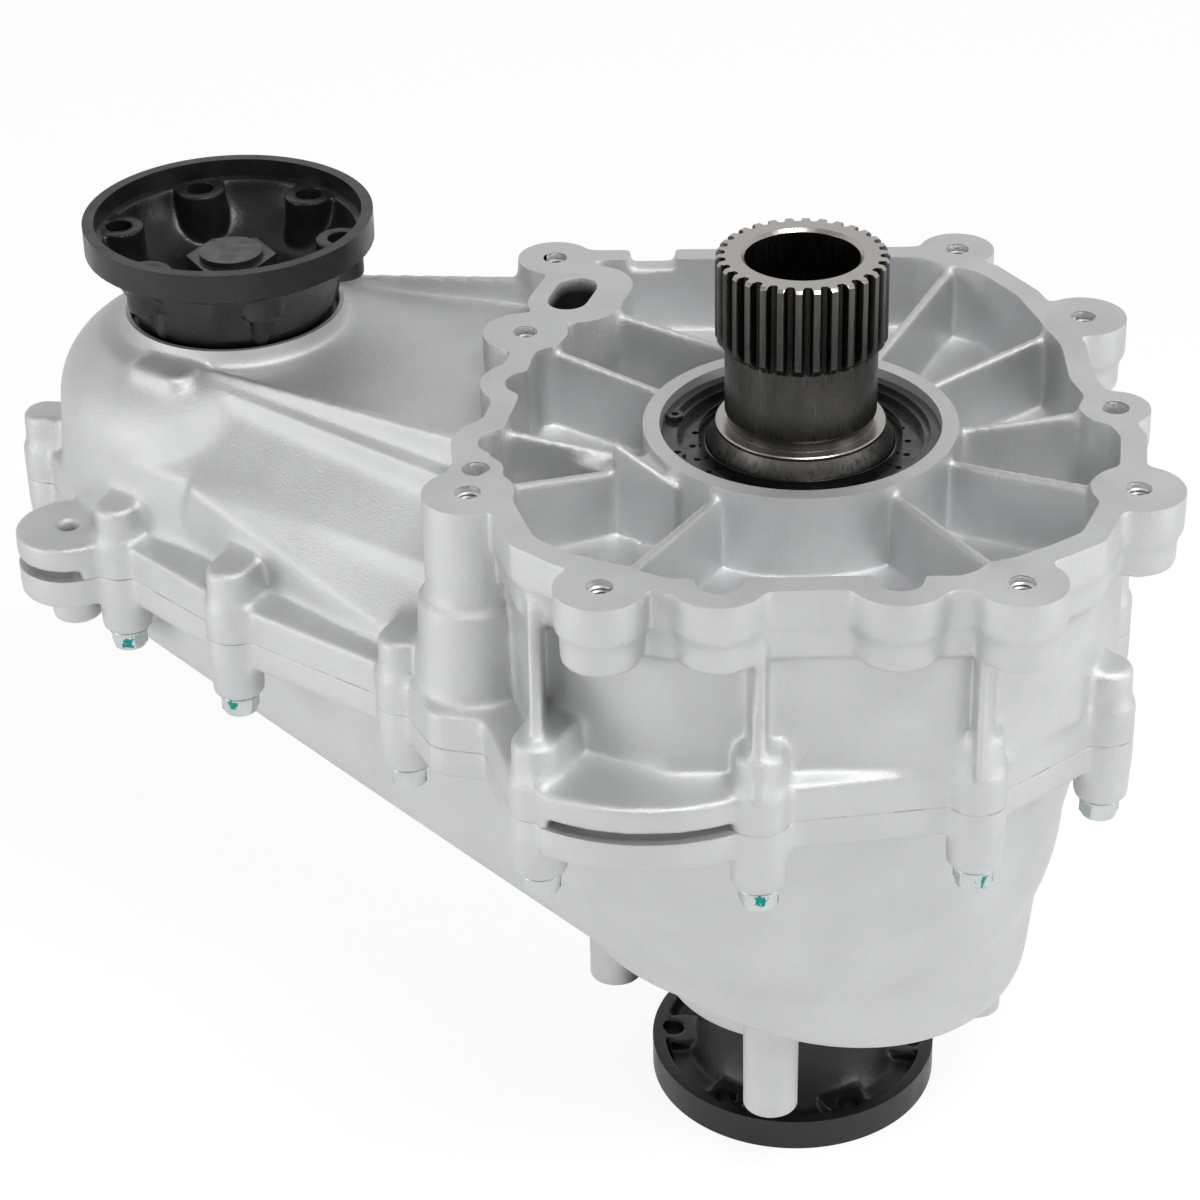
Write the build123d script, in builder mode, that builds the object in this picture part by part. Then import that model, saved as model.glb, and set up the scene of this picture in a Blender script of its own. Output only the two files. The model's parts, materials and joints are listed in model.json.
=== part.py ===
from build123d import *
from math import acos, asin, atan2, cos, degrees, hypot, pi, radians, sin, tan
import os

# Single-speed all-wheel-drive transfer case, in millimetres, +Z along the main shaft towards the gearbox.
# The origin is the centre of the rear output flange's bolting face; X and Y lie across the shaft.

# Heights, measured up the main shaft from the rear flange's face
joint_z = 205.0                # plane where the two case halves meet
adapter_z = 292.5              # machined face that bolts to the gearbox
ring_setback = 7.5             # the bearing ring stands this much below the gearbox face
shaft_reach = 57.2             # splined shaft above the gearbox face
front_lip_reach = 27.8         # lip of the front output cup above the gearbox face
ring_top_z = adapter_z - ring_setback
shaft_top_z = adapter_z + shaft_reach
front_lip_z = adapter_z + front_lip_reach

# Front output axis, seen from the main axis
centre_distance = 234.6
front_axis_angle = 152.35
front_x = centre_distance * cos(radians(front_axis_angle))
front_y = centre_distance * sin(radians(front_axis_angle))
main_axis = (0, 0)
front_axis = (front_x, front_y)
front_axis_foot = (front_x, front_y, 0)

# Case castings
case_wall = 5.0
cast_draft = 3.0
fit_gap = 0.05                 # radial running clearance of shafts in their bearings
press_gap = 0.02               # rings and seals in their seats
free_gap = 0.3                 # clearance between parts that must not touch

# Joint flange and its bolts
front_flange_t = 14.0
rear_flange_t = 12.0
bolt_boss_r = 10.2
bolt_boss_drop = 25.2
bolt_cap_r = 8.6
bolt_cap_rise = 14.0
bolt_cap_run = 13.0            # length of the cap's web, in towards the case
bolt_cap_round = 2.5
bolt_d = 8.0
bolt_bore_r = 4.4
bolt_head_af = 12.0
bolt_head_h = 6.5
bolt_washer_r = 7.6
bolt_washer_t = 1.6
bolt_engage = 20.0
bolt_centres = [
    (-251, 46), (-205, -2), (-141, -51), (-94, -118), (-21, -129), (52, -120), (100, -81),
    (109, -12), (106, 58), (66, 112), (10, 128), (-52, 140), (-115, 172), (-181, 189),
    (-236, 186), (-273, 160), (-287, 122),
]
joint_lip = 3.0                # the flange's edge outside the straight lines between the bolts
bulge_step = [(-129, -78), (-126, -80), (-110, -84), (-101, -117)]
bulge_centre = (-56, -76)
bulge_r = 66.5
ear_centre = (-271, 55)
ear_r = 20.0
ear_hole_r = 4.0
pry_slot_gap = 3.7
pry_slot_depth = 9.0
bulge_start = -122.5
bulge_end = -66.0
pry_slots = [(bulge_centre, bulge_r, bulge_start, bulge_end), (ear_centre, ear_r, 150.0, 288.0)]
spot_face_r = 9.2
spot_face_drop = 16.0
dowel_sleeve_r = 6.0
dowel_sleeve_bore_r = 4.6
dowel_sleeve_l = 16.0
dowel_sleeve_bolts = (5, 14)

# Adapter flange: bolt bosses (x, y, outer radius, hole radius), scallop lobes (x, y, radius),
# outside ribs (x, inner y, foot y, top y)
adapter_flange_t = 14.5
adapter_step_h = 12.5
adapter_step_in = 2.0
adapter_wall = 9.0
adapter_wall_in = 5.5
tapped_m10_r = 4.25
adapter_dowel_r = 4.6
dowel_pin_boss_r = 12.5
adapter_hole_depth = 24.0
adapter_bosses = [
    (-86, 122.5, 14.3, tapped_m10_r), (-97, 60, 15.8, tapped_m10_r),
    (-113, -43, 9.5, adapter_dowel_r), (-115.5, -59, 15.8, tapped_m10_r),
    (-72, -122.5, 15.4, tapped_m10_r), (62.5, -126, 15.4, tapped_m10_r),
    (108.5, -67, 16.0, tapped_m10_r), (109, -9.5, dowel_pin_boss_r, adapter_dowel_r),
    (107.5, 62, 16.0, tapped_m10_r), (67.5, 122, 14.2, tapped_m10_r),
]
adapter_lobes = [(-95, 19.5, 18.0), (-104, -24, 18.0), (-34, -121.5, 16.5), (24, -122, 17.0)]
adapter_core = [
    (-76, 128.5), (54, 125), (81, 107), (94, 84), (105.5, 40), (105, 14), (117, -30), (113, -55),
    (93, -101), (80, -110), (46, -130), (6, -128.2), (-16, -128.2), (-52, -127.5), (-87, -108),
    (-101, -95), (-106, -78), (-118, -35), (-109, 4), (-103, 41), (-93, 79), (-88, 106),
]
tall_boss = adapter_bosses[3]
tall_step_z = 254.0
tall_foot_r = 20.5
oil_slot = (-79.5, 91.0)
oil_slot_length = 28.0
oil_slot_width = 15.0
oil_slot_angle = 72.0
oil_slot_depth = 26.0
oil_pad = (-76.5, 91.0)
oil_pad_length = 50.0
oil_pad_width = 35.0
notch_x = (-57.2, -39.9)
notch_depth = 3.8

# Bearing ring and the pockets round it
ring_r = 55.6
ring_bore_r = 49.3
pocket_floor_in = 32.0         # floor depth below the ring's top, at the ring
pocket_floor_out = 23.0        # and at the outer wall
pocket_floor_r = 112.0
rib_t = 3.6
rib_drop_in = 4.5
rib_rise_out = 7.0
ribs = [
    ((-70, 80.7), (-8, 57)), ((-92, 51.4), (-44, 31)), ((-114, -9), (-48, -20)), ((-104, -54), (-66, -24)),
    ((-66, -24), (-44, -36)), ((-64, -114), (-30, -42)), ((55, -114), (28, -43)), ((98, -66), (48, -22)),
    ((101, -10), (50, -1)), ((101, 57), (44, 30)), ((66, 113), (26, 45)),
]
wall_ribs = [(-94, -88, -129, -97.5), (-20.8, -118, -135, -129.5), (51.3, -118, -133.5, -130.5)]
wall_rib_t = 3.6
rib_web = [(-80, -18), (-50, -14), (-42, -36), (-66, -26)]

# Bearing seats of the main shaft
front_thread_depth = 22.0
plate_seat_z = ring_top_z - 15.0
input_bearing_w = 18.0
input_bearing_r = 45.0
bearing_low_z = plate_seat_z - input_bearing_w - 1.0
input_seat_r = 27.5
throat_r = 38.0

# Chain room shared by both halves
chain_roof_z = 228.0
chain_room_front_r = 60.0
chain_room_main_r = 84.0
main_roof_z = 244.0

# Upper chain housing: side wall, shoulder and spine
wall_front_r = 71.0
wall_main_r = 106.0
crest_z = 248.0
shoulder_top_z = 270.0
shoulder_front_r = 46.0
shoulder_main_r = 84.0
crest_front_r = 69.4
crest_main_r = 104.4
spine_front_r = 45.0
spine_main_r = 93.0
spine_top_z = 275.5
ridge_t = 4.0
ridge_low_z = 278.5
ridge_high_z = 289.0
ridge_near_share = 0.53        # the ridges end in the adapter's wall, at these shares of the spine's edge
ridge_far_share = 0.42

# Front tower
tower_shoulder_r = 52.0
tower_shoulder_z = ring_top_z - 9.0
tower_boss_r = 41.5
tower_boss_z = ring_top_z - 1.5
vent_boss = (-231, 67)
vent_boss_length = 27.0
vent_boss_width = 17.0
vent_boss_turn = -36.0
vent_boss_low_z = 258.0
vent_boss_top_z = 279.0
vent_boss_round = 3.0
front_seal_r = 39.0
front_bearing_r = 36.0
front_throat_r = 31.0
front_bearing_low_z = 240.0
front_seal_z = 272.5
front_bearing_w = 18.0
front_shaft_r = 20.0

# Rear bowl, chain pan and posts
bowl_rim_r = 112.0
bowl_crest_r = 99.5
bowl_crest_z = 134.0
bowl_belt_r = 93.0
bowl_belt_z = 104.0
bowl_foot_r = 85.0
bowl_foot_z = 87.0
bowl_neck_r = 54.0
bowl_neck_z = 65.0
nose_r = 50.5
nose_z = 48.0
pan_front_r = 66.0
pan_main_r = 101.0
pan_low_z = 58.0
pan_low_front_r = 59.5
pan_low_main_r = 88.0
pan_main_z = 88.5
pan_slope = 17.2
pan_round = 5.0
post_pcd_r = 70.0
post_r = 10.8
post_foot_z = ring_top_z - 249.5
post_first_angle = -100.5
post_count = 4
post_hole_r = 4.25
post_hole_depth = 22.0
rear_bearing_r = 36.0
rear_bearing_w = 18.0
rear_bearing_z = 66.0
rear_shaft_r = 20.0
rear_seal_r = 38.0
rear_seal_w = 9.0
front_tail_r = 12.5
front_tail_bearing_r = 26.0
front_tail_bearing_w = 15.0
front_tail_z = 172.0
front_tail_boss_r = 34.0
front_tail_foot_z = 165.0

# Fill and drain plugs, on the bowl's far side
plug_turns = {"fill_plug": 22.0, "drain_plug": 52.0}
plug_z = 140.0
plug_boss_r = 15.0
plug_face_r = 113.0
plug_r = 9.0
plug_head_af = 19.0
plug_head_h = 7.0
plug_washer_r = 13.0
plug_washer_t = 1.5
plug_reach = 98.0

# Input shaft
spline_tip_r = 30.0
spline_root_r = 26.9
spline_count = 30
spline_length = 33.5
shaft_bore_r = 20.0
shaft_neck_r = 26.7
collar_r = 33.0
collar_top_r = 30.0

# Centre differential, module and teeth
gear_module = 2.5
sun_teeth = 30
planet_teeth = 15
planet_count = 3
annulus_teeth = sun_teeth + 2 * planet_teeth
pressure_angle = 20.0
backlash = 0.35
tooth_tip = 0.95 * gear_module
tooth_root = 1.3 * gear_module
pin_shoulder = 4.0
gear_w = 24.0
gear_z = 146.0
sun_r = gear_module * sun_teeth / 2
planet_r = gear_module * planet_teeth / 2
annulus_r = gear_module * annulus_teeth / 2
carrier_r = sun_r + planet_r
annulus_rim = 6.0
carrier_t = 8.0
pin_r = 7.0
input_tail_r = 22.0
sun_tube_r = 29.0

# Chain and sprockets
chain_pitch = 9.525
sprocket_teeth = 34
chain_w = 26.0
chain_mid_z = 207.0
chain_plate_h = 5.0
sprocket_r = chain_pitch / 2 / sin(pi / sprocket_teeth)
sprocket_tooth_h = 3.0

# Front output cup flange
front_cup_r = 54.3
front_cup_bore_r = 50.0
front_cup_ledge = 7.4
front_cup_band = 11.4
front_cup_base_r = 37.6
front_cup_depth = 38.0
front_pcd_r = 43.0
front_hole_r = 5.1
front_tab_r = 9.5
front_first_angle = 49.8
flange_bolt_count = 6
front_hub_r = 28.0

# Rear output flange
rear_flange_r = 55.0
rear_flange_rim = 13.0
rear_pcd_r = 47.0
rear_hole_r = 4.25
rear_boss_r = 9.0
rear_first_angle = -6.5
rear_hub_r = 27.0
rear_web_r = 38.0
rear_web_top_r = 32.0
rear_rim_w = 5.0
rear_web_z = 7.0
rear_recess_r = 34.0
rear_recess_depth = 4.0
shield_r = 46.0
shield_t = 1.5
nut_r = 17.0
nut_h = 12.0
rear_nut_z = 22.0
rear_thread_r = 12.0
rear_spline_r = 17.0
rear_shaft_foot_z = 7.0
shield_z = 45.5
race_share = 0.22
roller_pitch_share = 2.6
plate_inner_r = 34.0
plate_rim_r = 43.5
plate_web_z = ring_top_z - 9.0
plate_rim_z = ring_top_z - 5.5
plate_hole_pcd_r = 38.0
plate_hole_r = 1.2
plate_hole_count = 24
plate_hole_depth = 3.0
snap_ring_w = 3.5
snap_ring_t = 2.0
snap_ear_r = 46.0
snap_ear_angle = 18.0
snap_ear_size = 3.0
snap_ear_hole = 1.3
input_seal_r = 36.0
input_seal_h = 5.0
tail_z = 137.0
tail_top_z = 240.0
bore_foot_z = 252.0
neck_groove_r = 25.8
spline_tip_w = 2.6
spline_foot_w = 4.4
sun_top_z = 236.0
chain_link_l = 8.6
annulus_outer_r = 85.0
drum_z = 122.0
drum_t = 8.0
front_thread_r = 12.0
front_spline_r = 15.0
front_seal_w = 7.0
cup_floor_r = 30.0
cup_wall_r = 47.5
cup_hub_z = 258.5
front_lug_drop = 15.0

os.makedirs("parts", exist_ok=True)


front_section = Plane(origin=front_axis_foot, x_dir=(1, 0, 0), z_dir=(0, -1, 0))


def finish_piece(builder, name):
    """Label a finished piece and write it to its own file."""
    builder.part.label = name
    export_step(builder.part, f"parts/{name}.step")


def tangent_hull(front_r, main_r):
    """Belt-shaped outline round both shafts."""
    with Locations(front_axis):
        Circle(front_r)
    with Locations(main_axis):
        Circle(main_r)
    make_hull()


def hull_frustum(low_z, low_front, low_main, high_z, high_front, high_main):
    """Belt-shaped body whose outline changes evenly with height."""
    with BuildPart() as frustum:
        with BuildSketch(Plane.XY.offset(low_z)):
            tangent_hull(low_front, low_main)
        with BuildSketch(Plane.XY.offset(high_z)):
            tangent_hull(high_front, high_main)
        loft(ruled=True)
    return frustum.part


def joint_outline():
    """Outline of the joint flange: straight runs between the bolts, bosses, bulge and ear."""
    with Locations(bulge_centre):
        Circle(bulge_r - joint_lip)
    sides = [(bulge_centre[0] + 2 * bulge_r * cos(radians(turn)), bulge_centre[1] + 2 * bulge_r * sin(radians(turn)))
             for turn in (bulge_start, bulge_end)]
    Polygon(bulge_centre, *sides, align=None, mode=Mode.INTERSECT)
    Polygon(*bolt_centres[:3], *bulge_step, *bolt_centres[3:], align=None)
    offset(amount=joint_lip, kind=Kind.INTERSECTION, mode=Mode.REPLACE)
    with Locations(*bolt_centres):
        Circle(bolt_boss_r)
    with Locations(ear_centre):
        Circle(ear_r)


def towards_shafts(x, y):
    """Direction from a joint bolt to the line between the two shafts, in degrees."""
    share = (x * front_x + y * front_y) / centre_distance ** 2
    share = min(max(share, 0), 1)
    return degrees(atan2(share * front_y - y, share * front_x - x))


def bolt_cap(x, y):
    """Flat-topped cap over a joint bolt, with its web running in towards the case."""
    turn = towards_shafts(x, y)
    middle = (x + bolt_cap_run / 2 * cos(radians(turn)), y + bolt_cap_run / 2 * sin(radians(turn)))
    with BuildPart() as cap:
        with BuildSketch(Plane.XY.offset(wall_foot_z - free_gap)):
            with Locations(Location(middle, turn)):
                SlotCenterToCenter(bolt_cap_run, 2 * bolt_cap_r)
        extrude(amount=bolt_cap_rise + free_gap)
        fillet(cap.faces().sort_by(Axis.Z)[-1].edges(), bolt_cap_round)
    return cap.part


def adapter_outline(inset):
    """Scalloped outline of the gearbox flange, set in by a given amount."""
    Polygon(*adapter_core, align=None)
    if inset:
        offset(amount=-inset, kind=Kind.INTERSECTION, mode=Mode.REPLACE)
    for x, y, radius, hole in adapter_bosses:
        with Locations((x, y)):
            Circle(radius - min(inset, adapter_step_in))
    for x, y, radius in adapter_lobes:
        with Locations((x, y)):
            Circle(radius - inset)
    with Locations(Location(oil_pad, oil_slot_angle)):
        SlotOverall(oil_pad_length - 2 * inset, oil_pad_width - 2 * inset)


def rib_solid(inner, outer, low_z, inner_z, outer_z, thickness):
    """Upright rib between two plan points, its top edge sloping from one height to the other."""
    run = hypot(outer[0] - inner[0], outer[1] - inner[1])
    across = Vector(outer[1] - inner[1], inner[0] - outer[0], 0)
    along = Vector(outer[0] - inner[0], outer[1] - inner[1], 0)
    side = Plane(origin=(inner[0], inner[1], 0), x_dir=along, z_dir=across)
    with BuildPart() as rib:
        with BuildSketch(side):
            Polygon((0, low_z), (run, low_z), (run, outer_z), (0, inner_z), align=None)
        extrude(amount=thickness / 2, both=True)
    return rib.part


def pry_slot(centre, edge_r, start, end):
    """Gap for a pry bar: part of a ring, let into the front half's edge at the joint."""
    inner_r = edge_r - pry_slot_depth
    section = Plane(origin=(*centre, joint_z), x_dir=(cos(radians(start)), sin(radians(start)), 0),
                    z_dir=(sin(radians(start)), -cos(radians(start)), 0))
    with BuildPart() as slot:
        with BuildSketch(section):
            Polygon((inner_r, 0), (edge_r + pry_slot_depth, 0), (edge_r + pry_slot_depth, pry_slot_gap),
                    (inner_r, pry_slot_gap), align=None)
        revolve(axis=Axis((*centre, joint_z), (0, 0, 1)), revolution_arc=end - start)
    return slot.part


def spine_ridge(side):
    """Lip along one edge of the spine, rising from the tower to the adapter."""
    lean = asin((spine_main_r - spine_front_r) / centre_distance)
    normal = radians(front_axis_angle) + side * (pi / 2 + lean)
    edge = spine_front_r - ridge_t / 2
    start = (front_x + edge * cos(normal), front_y + edge * sin(normal))
    edge = spine_main_r - ridge_t / 2
    end = (edge * cos(normal), edge * sin(normal))
    share = ridge_near_share if side > 0 else ridge_far_share
    stop = (start[0] + share * (end[0] - start[0]), start[1] + share * (end[1] - start[1]))
    return rib_solid(start, stop, shoulder_top_z, ridge_low_z, ridge_high_z, ridge_t)


# Pockets between the bearing ring and the adapter wall, as the shape that is cut away
rib_in_z = ring_top_z - rib_drop_in
rib_out_z = ring_top_z + rib_rise_out
floor_in_z = ring_top_z - pocket_floor_in
floor_out_z = ring_top_z - pocket_floor_out
with BuildPart() as pockets:
    with BuildSketch(Plane.XY.offset(floor_in_z)):
        Polygon(*adapter_core, align=None)
        offset(amount=-adapter_wall, kind=Kind.INTERSECTION, mode=Mode.REPLACE)
        for x, y, radius in adapter_lobes:
            with Locations((x, y)):
                Circle(radius - adapter_wall)
        for x, y, radius, hole in adapter_bosses:
            with Locations((x, y)):
                Circle(radius, mode=Mode.SUBTRACT)
        with Locations(Location(oil_pad, oil_slot_angle)):
            SlotOverall(oil_pad_length, oil_pad_width, mode=Mode.SUBTRACT)
    extrude(amount=adapter_z - floor_in_z)
    with BuildSketch(Plane.XZ):
        with BuildLine():
            Polyline((0, floor_in_z), (ring_r, floor_in_z), (pocket_floor_r, floor_out_z),
                     (2 * pocket_floor_r, floor_out_z), (2 * pocket_floor_r, floor_in_z - 1),
                     (0, floor_in_z - 1), close=True)
        make_face()
    revolve(axis=Axis.Z, mode=Mode.SUBTRACT)
    with BuildSketch(Plane.XY.offset(floor_in_z)):
        Circle(ring_r)
    extrude(amount=ring_top_z - floor_in_z, mode=Mode.SUBTRACT)
    for wall_end, ring_end in ribs:
        add(rib_solid(ring_end, wall_end, floor_in_z - 2, rib_in_z, rib_out_z, rib_t), mode=Mode.SUBTRACT)
    with BuildSketch(Plane.XY.offset(floor_in_z)):
        Polygon(*rib_web, align=None)
    extrude(amount=rib_in_z - floor_in_z, mode=Mode.SUBTRACT)

with BuildPart() as vent_block:
    with BuildSketch(Plane.XY.offset(vent_boss_low_z)):
        with Locations(Location(vent_boss, vent_boss_turn)):
            Rectangle(vent_boss_length, vent_boss_width)
    extrude(amount=vent_boss_top_z - vent_boss_low_z)
    fillet(vent_block.edges().filter_by(Axis.Z), 2 * vent_boss_round)
    fillet(vent_block.faces().sort_by(Axis.Z)[-1].edges(), vent_boss_round)

# Front half of the case: joint flange, chain housing, tower and adapter
wall_foot_z = joint_z + front_flange_t
with BuildPart() as front_case:
    with BuildSketch(Plane.XY.offset(joint_z)):
        joint_outline()
    extrude(amount=front_flange_t)
    for x, y in bolt_centres:
        add(bolt_cap(x, y))
    add(hull_frustum(wall_foot_z, wall_front_r, wall_main_r, crest_z, crest_front_r, crest_main_r))
    add(hull_frustum(crest_z, crest_front_r, crest_main_r, shoulder_top_z, shoulder_front_r, shoulder_main_r))
    with BuildSketch(Plane.XY.offset(shoulder_top_z - 6)):
        tangent_hull(spine_front_r, spine_main_r)
    extrude(amount=spine_top_z - shoulder_top_z + 6)
    # Domed end under the front output, with its shoulder and seal boss
    with BuildSketch(front_section):
        with BuildLine():
            Polyline((0, wall_foot_z), (crest_front_r, wall_foot_z), (crest_front_r, crest_z))
            ThreePointArc((crest_front_r, crest_z), (crest_front_r - 4.4, crest_z + 16),
                          (tower_shoulder_r, tower_shoulder_z))
            Polyline((tower_shoulder_r, tower_shoulder_z), (tower_boss_r + 1.5, tower_shoulder_z),
                     (tower_boss_r, tower_shoulder_z + 1.5), (tower_boss_r, tower_boss_z), (0, tower_boss_z),
                     (0, wall_foot_z))
        make_face()
    revolve(axis=Axis(front_axis_foot, (0, 0, 1)))
    # Block boss beside the tower
    add(vent_block.part)
    # Adapter: wall, step and flange
    with BuildSketch(Plane.XY.offset(wall_foot_z)):
        Polygon(*adapter_core, align=None)
        offset(amount=-adapter_wall_in, kind=Kind.INTERSECTION, mode=Mode.REPLACE)
    extrude(amount=adapter_z - adapter_flange_t - wall_foot_z)
    with BuildSketch(Plane.XY.offset(wall_foot_z)):
        with Locations(tall_boss[:2]):
            Circle(tall_foot_r)
    extrude(amount=tall_step_z - wall_foot_z, taper=cast_draft)
    with BuildSketch(Plane.XY.offset(tall_step_z)):
        with Locations(tall_boss[:2]):
            Circle(tall_boss[2])
    extrude(amount=adapter_z - tall_step_z)
    with BuildSketch(Plane.XY.offset(adapter_z - adapter_flange_t - adapter_step_h)):
        adapter_outline(adapter_step_in)
    extrude(amount=adapter_step_h)
    with BuildSketch(Plane.XY.offset(adapter_z - adapter_flange_t)):
        adapter_outline(0)
    extrude(amount=adapter_flange_t)
    add(pockets.part, mode=Mode.SUBTRACT)
    with BuildSketch(Plane.XY.offset(ring_top_z)):
        Circle(ring_r + 1)
    extrude(amount=ring_setback, mode=Mode.SUBTRACT)
    # Stiffening ribs down the outside of the adapter wall, onto the bolt bosses
    step_z = adapter_z - adapter_flange_t
    for rib_x, wall_y, foot_y, top_y in wall_ribs:
        with BuildSketch(Plane(origin=(rib_x, 0, 0), x_dir=(0, 1, 0), z_dir=(1, 0, 0))):
            Polygon((wall_y, wall_foot_z), (foot_y, wall_foot_z), (top_y, step_z), (wall_y, step_z), align=None)
        extrude(amount=wall_rib_t / 2, both=True)
    # Ridges along both edges of the spine
    for side in (-1, 1):
        add(spine_ridge(side))
    # Slot of the oil passage, sight notch, threaded and dowel holes of the adapter
    with BuildSketch(Plane.XY.offset(adapter_z)):
        with Locations(Location(oil_slot, oil_slot_angle)):
            SlotOverall(oil_slot_length, oil_slot_width)
    extrude(amount=-oil_slot_depth, mode=Mode.SUBTRACT)
    with BuildSketch(Plane.XY.offset(adapter_z)):
        with Locations(((notch_x[0] + notch_x[1]) / 2, adapter_core[0][1])):
            Rectangle(notch_x[1] - notch_x[0], 3 * adapter_wall)
    extrude(amount=-notch_depth, mode=Mode.SUBTRACT)
    for x, y, radius, hole in adapter_bosses:
        with Locations((x, y, adapter_z)):
            Hole(hole, depth=adapter_hole_depth)
    # Main bore: ring mouth, bearing seat and throat
    with BuildSketch(Plane.XZ):
        Polygon((0, joint_z), (throat_r, joint_z), (throat_r, bearing_low_z), (input_bearing_r, bearing_low_z),
                (input_bearing_r, plate_seat_z), (ring_bore_r, plate_seat_z), (ring_bore_r, adapter_z),
                (0, adapter_z), align=None)
    revolve(axis=Axis.Z, mode=Mode.SUBTRACT)
    # Rooms for the chain and the differential
    with BuildSketch(Plane.XY.offset(joint_z)):
        tangent_hull(chain_room_front_r, chain_room_main_r)
    extrude(amount=chain_roof_z - joint_z, mode=Mode.SUBTRACT)
    with BuildSketch(Plane.XY.offset(joint_z)):
        Circle(chain_room_main_r)
    extrude(amount=main_roof_z - joint_z, mode=Mode.SUBTRACT)
    # Front output bore: bearing seat and seal seat
    with BuildSketch(front_section):
        Polygon((0, joint_z), (front_throat_r, joint_z), (front_throat_r, front_bearing_low_z),
                (front_bearing_r, front_bearing_low_z),
                (front_bearing_r, front_bearing_low_z + front_bearing_w), (front_throat_r, front_bearing_low_z
                + front_bearing_w), (front_throat_r, front_seal_z), (front_seal_r, front_seal_z),
                (front_seal_r, tower_boss_z), (0, tower_boss_z), align=None)
    revolve(axis=Axis(front_axis_foot, (0, 0, 1)), mode=Mode.SUBTRACT)
    # Blind tapped holes over the joint bolts, alignment hole of the ear
    with Locations(*[(x, y, joint_z) for x, y in bolt_centres]):
        Cylinder(bolt_bore_r, front_thread_depth, align=(Align.CENTER, Align.CENTER, Align.MIN),
                 mode=Mode.SUBTRACT)
    with Locations((*ear_centre, joint_z)):
        Cylinder(ear_hole_r, front_flange_t, align=(Align.CENTER, Align.CENTER, Align.MIN), mode=Mode.SUBTRACT)
    with Locations(*[(*bolt_centres[k], joint_z) for k in dowel_sleeve_bolts]):
        Cylinder(dowel_sleeve_r + press_gap, dowel_sleeve_l + free_gap, mode=Mode.SUBTRACT)
    # Pry slots over the bulge and the ear
    for centre, edge_r, start, end in pry_slots:
        add(pry_slot(centre, edge_r, start, end), mode=Mode.SUBTRACT)
finish_piece(front_case, "front_case")


def sloped_wedge(rise):
    """Everything under the pan's sloping floor, raised by a given amount."""
    to_front = (front_x, front_y, 0)
    reach = 2 * centre_distance
    climb = reach * tan(radians(pan_slope))
    with BuildPart() as wedge:
        with BuildSketch(Plane(origin=(0, 0, 0), x_dir=to_front, z_dir=(front_y, -front_x, 0))):
            Polygon((-reach, -reach), (reach, -reach), (reach, pan_main_z + rise + climb),
                    (-reach, pan_main_z + rise - climb), align=None)
        extrude(amount=reach, both=True)
    return wedge.part


def plug_plane(turn):
    """Plane of a plug boss's outer face, looking out of the bowl."""
    heading = (cos(radians(turn)), sin(radians(turn)), 0)
    return Plane(origin=(plug_face_r * heading[0], plug_face_r * heading[1], plug_z), x_dir=(0, 0, 1), z_dir=heading)


# Chain pan of the rear half: outer body and the room inside it
rear_wall_z = joint_z - rear_flange_t
with BuildPart() as chain_pan:
    add(hull_frustum(pan_low_z, pan_low_front_r, pan_low_main_r, rear_wall_z, pan_front_r, pan_main_r))
    add(sloped_wedge(0), mode=Mode.SUBTRACT)
    fillet(chain_pan.faces().sort_by(Axis.Z)[0].edges(), pan_round)

with BuildPart() as pan_room:
    add(hull_frustum(pan_low_z, pan_low_front_r - case_wall, pan_low_main_r - case_wall, joint_z,
                     pan_front_r - case_wall, pan_main_r - 2 * case_wall))
    add(sloped_wedge(case_wall / cos(radians(pan_slope))), mode=Mode.SUBTRACT)

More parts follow.
